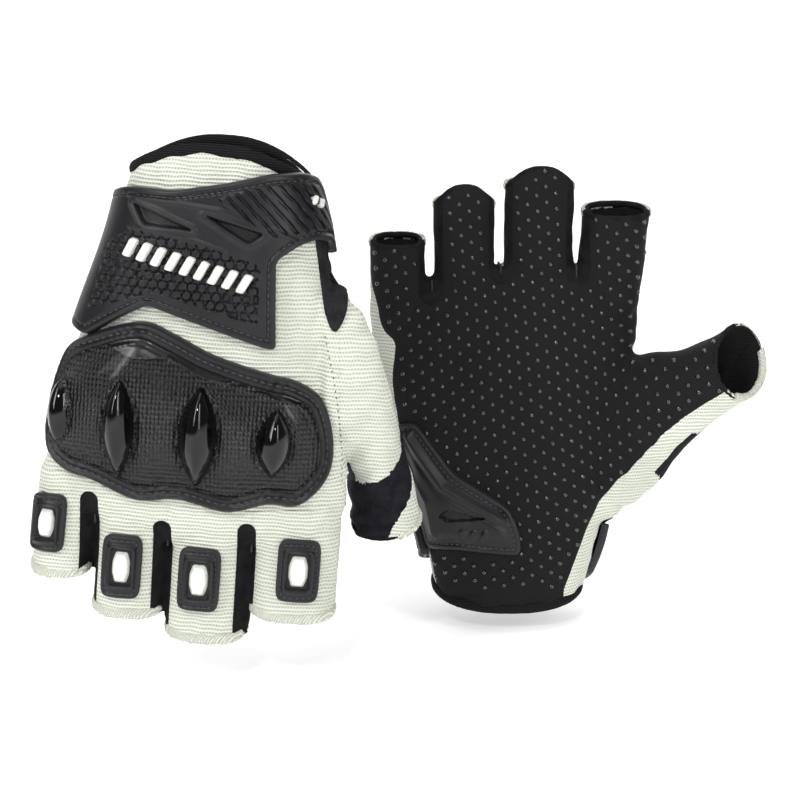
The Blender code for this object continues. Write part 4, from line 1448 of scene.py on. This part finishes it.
def knit_look():
    """Ribbed knit: courses across the hand, with small dark eyelets between them."""
    look = Look("knit", (0.60, 0.63, 0.53), 0.85, Sheen_Weight=0.10, Sheen_Roughness=0.5,
                Specular_IOR_Level=0.2)
    rest = look.rest()
    x, z = look.axis(rest, 0), look.axis(rest, 2)
    sway = look.noise(rest, 0.06, 2.0)
    level = look.plus(z, look.times(sway, 3.0))
    course = look.wave(level, 1.3)
    row = look.times(look.math("FLOOR", look.math("DIVIDE", level, 1.3)), 0.5)
    column = look.wave(look.plus(x, row), 1.0)
    valley = look.math("POWER", look.minus(1.0, course), 1.5)
    eyelet = look.times(valley, column)
    fuzz = look.noise(rest, 2.6, 4.0, 0.7)
    cloud = look.noise(rest, 0.05, 2.0)
    body = look.ramp(cloud, (0.66, 0.69, 0.585), (0.76, 0.785, 0.69), 0.3, 0.7)
    # painted shade: the valleys between the knit courses are darkened
    shaded = look.mix(look.times(valley, 0.34), body, (0.36, 0.39, 0.32))
    dotted = look.mix(look.times(eyelet, 0.65), shaded, (0.16, 0.18, 0.15))
    look.colour(look.mix(look.times(fuzz, 0.18), dotted, (0.82, 0.85, 0.76)))
    height = look.plus(look.minus(course, look.times(eyelet, 0.6)),
                       look.times(fuzz, 0.35))
    look.bump(height, 0.75, 0.42)
    return look.material


def hem_look():
    """Overlocked edge: fuzzy loops of pale thread."""
    look = Look("overlock", (0.62, 0.64, 0.53), 0.9, Sheen_Weight=0.10, Sheen_Roughness=0.5)
    rest = look.rest()
    fuzz = look.noise(rest, 1.5, 5.0, 0.75)
    run = look.plus(look.axis(rest, 0), look.times(look.axis(rest, 1), 0.8))
    loops = look.wave(look.plus(run, look.times(look.axis(rest, 2), 0.5)), 0.9)
    look.colour(look.ramp(look.times(fuzz, look.plus(loops, 0.6)),
                          (0.36, 0.37, 0.28), (0.76, 0.78, 0.68), 0.1, 0.8))
    look.bump(look.plus(loops, look.times(fuzz, 1.2)), 0.8, 0.4)
    return look.material


def twill_look():
    """Black palm twill: fine diagonal wales."""
    look = Look("palm_twill", (0.018, 0.018, 0.019), 0.7, Sheen_Weight=0.0, Specular_IOR_Level=0.12)
    rest = look.rest()
    x, z = look.axis(rest, 0), look.axis(rest, 2)
    wale = look.wave(look.plus(x, look.times(z, 0.9)), 0.95)
    weft = look.wave(look.minus(x, look.times(z, 1.1)), 0.8)
    weave = look.times(wale, look.plus(look.times(weft, 0.4), 0.6))
    cloud = look.noise(rest, 0.12, 3.0)
    tone = look.ramp(weave, (0.001, 0.001, 0.001), (0.034, 0.034, 0.035), 0.25, 0.95)
    look.colour(look.mix(look.times(cloud, 0.35), tone, (0.014, 0.014, 0.015)))
    look.bump(weave, 0.8, 0.35)
    look.roughness(cloud, 0.6, 0.85)
    return look.material


def pile_look(name, colour, scale, sparkle):
    """Short dark nap, with stray pale fibres."""
    look = Look(name, colour, 0.9, Sheen_Weight=0.0, Specular_IOR_Level=0.1)
    rest = look.rest()
    fine = look.noise(rest, scale, 5.0, 0.8)
    broad = look.noise(rest, 0.25, 3.0)
    base = look.ramp(broad, tuple(c * 0.6 for c in colour), tuple(c * 1.5 for c in colour), 0.3, 0.7)
    fibre = look.math("GREATER_THAN", look.noise(rest, scale * 1.2, 1.0, 0.5), 0.74)
    look.colour(look.mix(look.times(fibre, sparkle), base, (0.22, 0.22, 0.24)))
    look.bump(fine, 0.7, 0.3)
    return look.material


def rubber_look():
    """Satin moulded rubber: fine grain, and a painted highlight that makes each plate's outer edge a little
    paler.
    """
    look = Look("moulded_rubber", (0.012, 0.012, 0.014), 0.36, Specular_IOR_Level=0.28)
    rest = look.rest()
    grain = look.noise(rest, 3.2, 4.0, 0.7)
    cloud = look.noise(rest, 0.1, 3.0)
    rim = look.rim(1.6)
    base = look.ramp(cloud, (0.007, 0.007, 0.008), (0.014, 0.014, 0.016), 0.3, 0.7)
    # painted highlight: paler colour along each plate's outline, where the rounded edge catches the light
    look.colour(look.mix(look.times(rim, 0.25), base, (0.040, 0.040, 0.043)))
    look.bump(grain, 0.28, 0.10)
    look.roughness(look.plus(look.times(grain, 0.5), look.times(cloud, 0.5)), 0.28, 0.46)
    return look.material


def shell_look():
    """Knuckle guard: scale texture on the field, glossy bumps, satin upper band."""
    look = Look("guard_shell", (0.012, 0.012, 0.013), 0.25, Coat_Weight=0.15, Coat_Roughness=0.08,
                Specular_IOR_Level=0.32)
    rest = look.rest()
    cells = look.node("ShaderNodeTexVoronoi")
    cells.inputs["Scale"].default_value = 0.78
    cells.inputs["Randomness"].default_value = 0.25
    flat = look.node("ShaderNodeMapping")
    flat.inputs["Scale"].default_value = (1.0, 0.0, 0.8)
    look.link(rest, flat.inputs["Vector"])
    look.link(flat.outputs["Vector"], cells.inputs["Vector"])
    scale = look.capped(look.times(cells.outputs["Distance"], 1.3))
    bare = look.math("MAXIMUM", look.value("bump_zone"), look.minus(1.0, look.value("scales")))
    field = look.times(scale, look.minus(1.0, bare))
    smear = look.noise(rest, 0.18, 4.0, 0.65)
    tone = look.ramp(field, (0.001, 0.001, 0.001), (0.020, 0.020, 0.022), 0.35, 1.0)
    # painted shade: the recessed slots beside the bumps are darkened
    look.colour(look.mix(look.value("slot_painted_shade"), tone, (0.003, 0.003, 0.003)))
    look.bump(look.plus(field, look.times(smear, 0.05)), 1.0, 0.8)
    matte = look.minus(1.0, look.value("bump_zone"))
    look.roughness(look.times(matte, look.plus(look.times(smear, 0.5), 0.5)), 0.07, 0.40)
    return look.material


def white_look():
    """White moulding with patchy grime, and painted shade that darkens it towards its edges."""
    look = Look("white_moulding", (0.74, 0.76, 0.70), 0.4, Subsurface_Weight=0.05)
    rest = look.rest()
    grime = look.noise(rest, 0.9, 4.0, 0.6)
    rim = look.rim(0.8)
    base = look.ramp(grime, (0.62, 0.64, 0.58), (0.78, 0.80, 0.74), 0.35, 0.65)
    # painted shade: darker towards the outline, where the white part meets the part around it
    look.colour(look.mix(look.times(rim, 0.4), base, (0.45, 0.46, 0.42)))
    look.bump(grime, 0.15, 0.1)
    look.roughness(grime, 0.32, 0.5)
    return look.material


def silicone_look():
    """Glossy black silicone."""
    look = Look("silicone_dots", (0.003, 0.003, 0.0035), 0.20, Coat_Weight=1.0, Coat_Roughness=0.10,
                Specular_IOR_Level=0.35)
    rest = look.rest()
    film = look.noise(rest, 0.7, 3.0)
    look.colour(look.ramp(film, (0.004, 0.004, 0.0045), (0.009, 0.009, 0.010), 0.3, 0.7))
    look.roughness(film, 0.18, 0.24)
    look.bump(film, 0.1, 0.05)
    return look.material


def thread_look():
    """Twisted thread."""
    look = Look("thread", (0.050, 0.050, 0.054), 0.55, Sheen_Weight=0.05)
    rest = look.rest()
    twist = look.wave(look.plus(look.axis(rest, 0), look.axis(rest, 2)), 0.35)
    look.colour(look.ramp(twist, (0.020, 0.020, 0.022), (0.085, 0.085, 0.090), 0.2, 0.9))
    look.bump(twist, 0.4, 0.08)
    return look.material


def tape_look(name):
    """Ribbed stretch tape."""
    look = Look(name, (0.018, 0.018, 0.020), 0.8, Sheen_Weight=0.0, Specular_IOR_Level=0.1)
    rest = look.rest()
    rib = look.wave(look.axis(rest, 2), 0.75)
    fuzz = look.noise(rest, 2.2, 4.0, 0.7)
    look.colour(look.ramp(look.times(rib, fuzz), (0.004, 0.004, 0.0045), (0.020, 0.020, 0.022), 0.1, 0.7))
    look.bump(look.plus(rib, look.times(fuzz, 0.6)), 0.5, 0.2)
    return look.material


MATERIALS = {
    "knit": knit_look(),
    "hem": hem_look(),
    "palm": twill_look(),
    "gusset": pile_look("gusset_pile", (0.009, 0.009, 0.010), 2.4, 0.10),
    "suede": pile_look("suede", (0.009, 0.009, 0.012), 2.0, 0.30),
    "loop": pile_look("loop_pile", (0.016, 0.016, 0.018), 1.6, 0.30),
    "lining": tape_look("lining"),
    "binding": tape_look("binding"),
    "rubber": rubber_look(),
    "foam": rubber_look(),
    "shell": shell_look(),
    "white": white_look(),
    "dots": silicone_look(),
    "thread": thread_look(),
}

HAND_WRAP = Wrap(hand_section, -12.0, 128.0)
PALM_WRAP = Wrap(hand_section, -12.0, 128.0, palm=True)


# ---------------------------------------------------------------- stage

FLOOR_Z = -0.011
FLOOR_REACH = 3.0
WALL_Y = 1.2
MIDDLE = (-0.04, -0.03, 0.08)
SOFTBOXES = (                 # name, place, size, power
    ("key", (-0.75, -0.75, 0.75), (0.35, 0.9), 5.0),
    ("left_strip", (-0.55, -0.62, 0.42), (0.05, 0.5), 1.3),
    ("right_strip", (0.42, -0.62, 0.42), (0.05, 0.5), 1.1),
    ("fill", (0.75, -0.85, 0.45), (0.35, 0.9), 3.2),
    ("glint", (-0.16, -0.80, 0.62), (0.06, 0.06), 2.2),
    ("top", (0.0, -0.05, 1.2), (1.4, 1.0), 6.0),
    ("back", (0.0, 0.9, 0.6), (1.6, 0.8), 2.5),
)


def stage():
    """White floor that turns up into a back wall, the camera and the lights."""
    mesh = bpy.data.meshes.new("floor")
    bm = bmesh.new()
    corners = ((-FLOOR_REACH, -FLOOR_REACH), (FLOOR_REACH, -FLOOR_REACH),
               (FLOOR_REACH, WALL_Y), (-FLOOR_REACH, WALL_Y))
    bm.faces.new([bm.verts.new((x, y, FLOOR_Z)) for x, y in corners])
    wall = bmesh.ops.extrude_edge_only(bm, edges=[e for e in bm.edges if all(v.co.y > 1 for v in e.verts)])
    for v in (v for v in wall["geom"] if isinstance(v, bmesh.types.BMVert)):
        v.co.z += 2.5
        v.co.y += 0.4
    bm.to_mesh(mesh)
    bm.free()
    floor = added("floor", mesh)
    paint = Look("floor_paint", (0.90, 0.90, 0.90), 0.9, Emission_Color=(1.0, 1.0, 1.0, 1.0),
                 Emission_Strength=0.42, Specular_IOR_Level=0.0)
    mesh.materials.append(paint.material)

    camera = bpy.data.cameras.new("camera")
    camera.lens = 70.0
    camera.sensor_width = 36.0
    camera.clip_start = 0.01
    holder = added("camera", camera)
    holder.location = (-0.038, -0.577, 0.165)
    holder.rotation_euler = (math.radians(90.0 - 9.0), 0.0, 0.0)
    bpy.context.scene.camera = holder

    for name, place, size, power in SOFTBOXES:
        light = bpy.data.lights.new(name, "AREA")
        light.shape = "RECTANGLE"
        light.size, light.size_y = size
        light.energy = power
        lamp = added(name, light)
        lamp.location = place
        lamp.rotation_euler = (Vector(MIDDLE) - Vector(place)).to_track_quat("-Z", "Y").to_euler()

    world = bpy.data.worlds.new("world")
    world.use_nodes = True
    sky = world.node_tree.nodes["Background"]
    sky.inputs[0].default_value = (1.0, 1.0, 1.0, 1.0)
    sky.inputs[1].default_value = 0.16
    bpy.context.scene.world = world
    bpy.context.scene.view_settings.view_transform = "Standard"


# ---------------------------------------------------------------- the gloves

def pad_under_guard(side):
    """Foam under the guard: a crowned pad with soft sides."""
    outline = inset_by_distance(guard_outline(), WELT_WIDTH + 1.6)

    def height(_flat, edge):
        return 0.8 + 1.6 * rounded_edge(edge, 4.0)

    pad = relief("guard_foam", side, HAND_WRAP, outline, height, 0.4, "foam", "root", "knuckle_pad",
                 pitch=1.2)


def thumb_seam(side, drape, regions):
    """Row of small stitches where the thumb's panel meets the back."""
    stitch_line("thumb_seam", side, drape, np.array(THUMB_SEAM), 0.0, f"thumb_{side}", closed=False,
                length=0.7, space=1.5, blend=thumb_blend(regions))


def hook_patch(side):
    relief("hook_patch", side, HAND_WRAP, closed_curve(HOOK_OUTLINE, 50),
           lambda _f, e: 0.5 + 0.7 * rounded_edge(e, 0.5), 0.4, "loop", f"strap_{side}", "strap_hook_patch",
           pitch=0.6, closed=True)


def glove(side):
    regions, points, tris = fabric(side)
    silicone_dots(side, regions, points, tris)
    knuckle_guard(side)
    pad_under_guard(side)
    wrist_strap(side)
    drape = Drape(points, tris)
    loop_tab(side, drape)
    thumb_seam(side, drape, regions)
    hook_patch(side)
    finger_caps(side)
    heel_guard(side)
    cuff_binding(side)
    finger_hems(side)
    thumb_hems(side, regions)


stage()
for each_side in SIDES:
    glove(each_side)

bpy.context.view_layer.update()
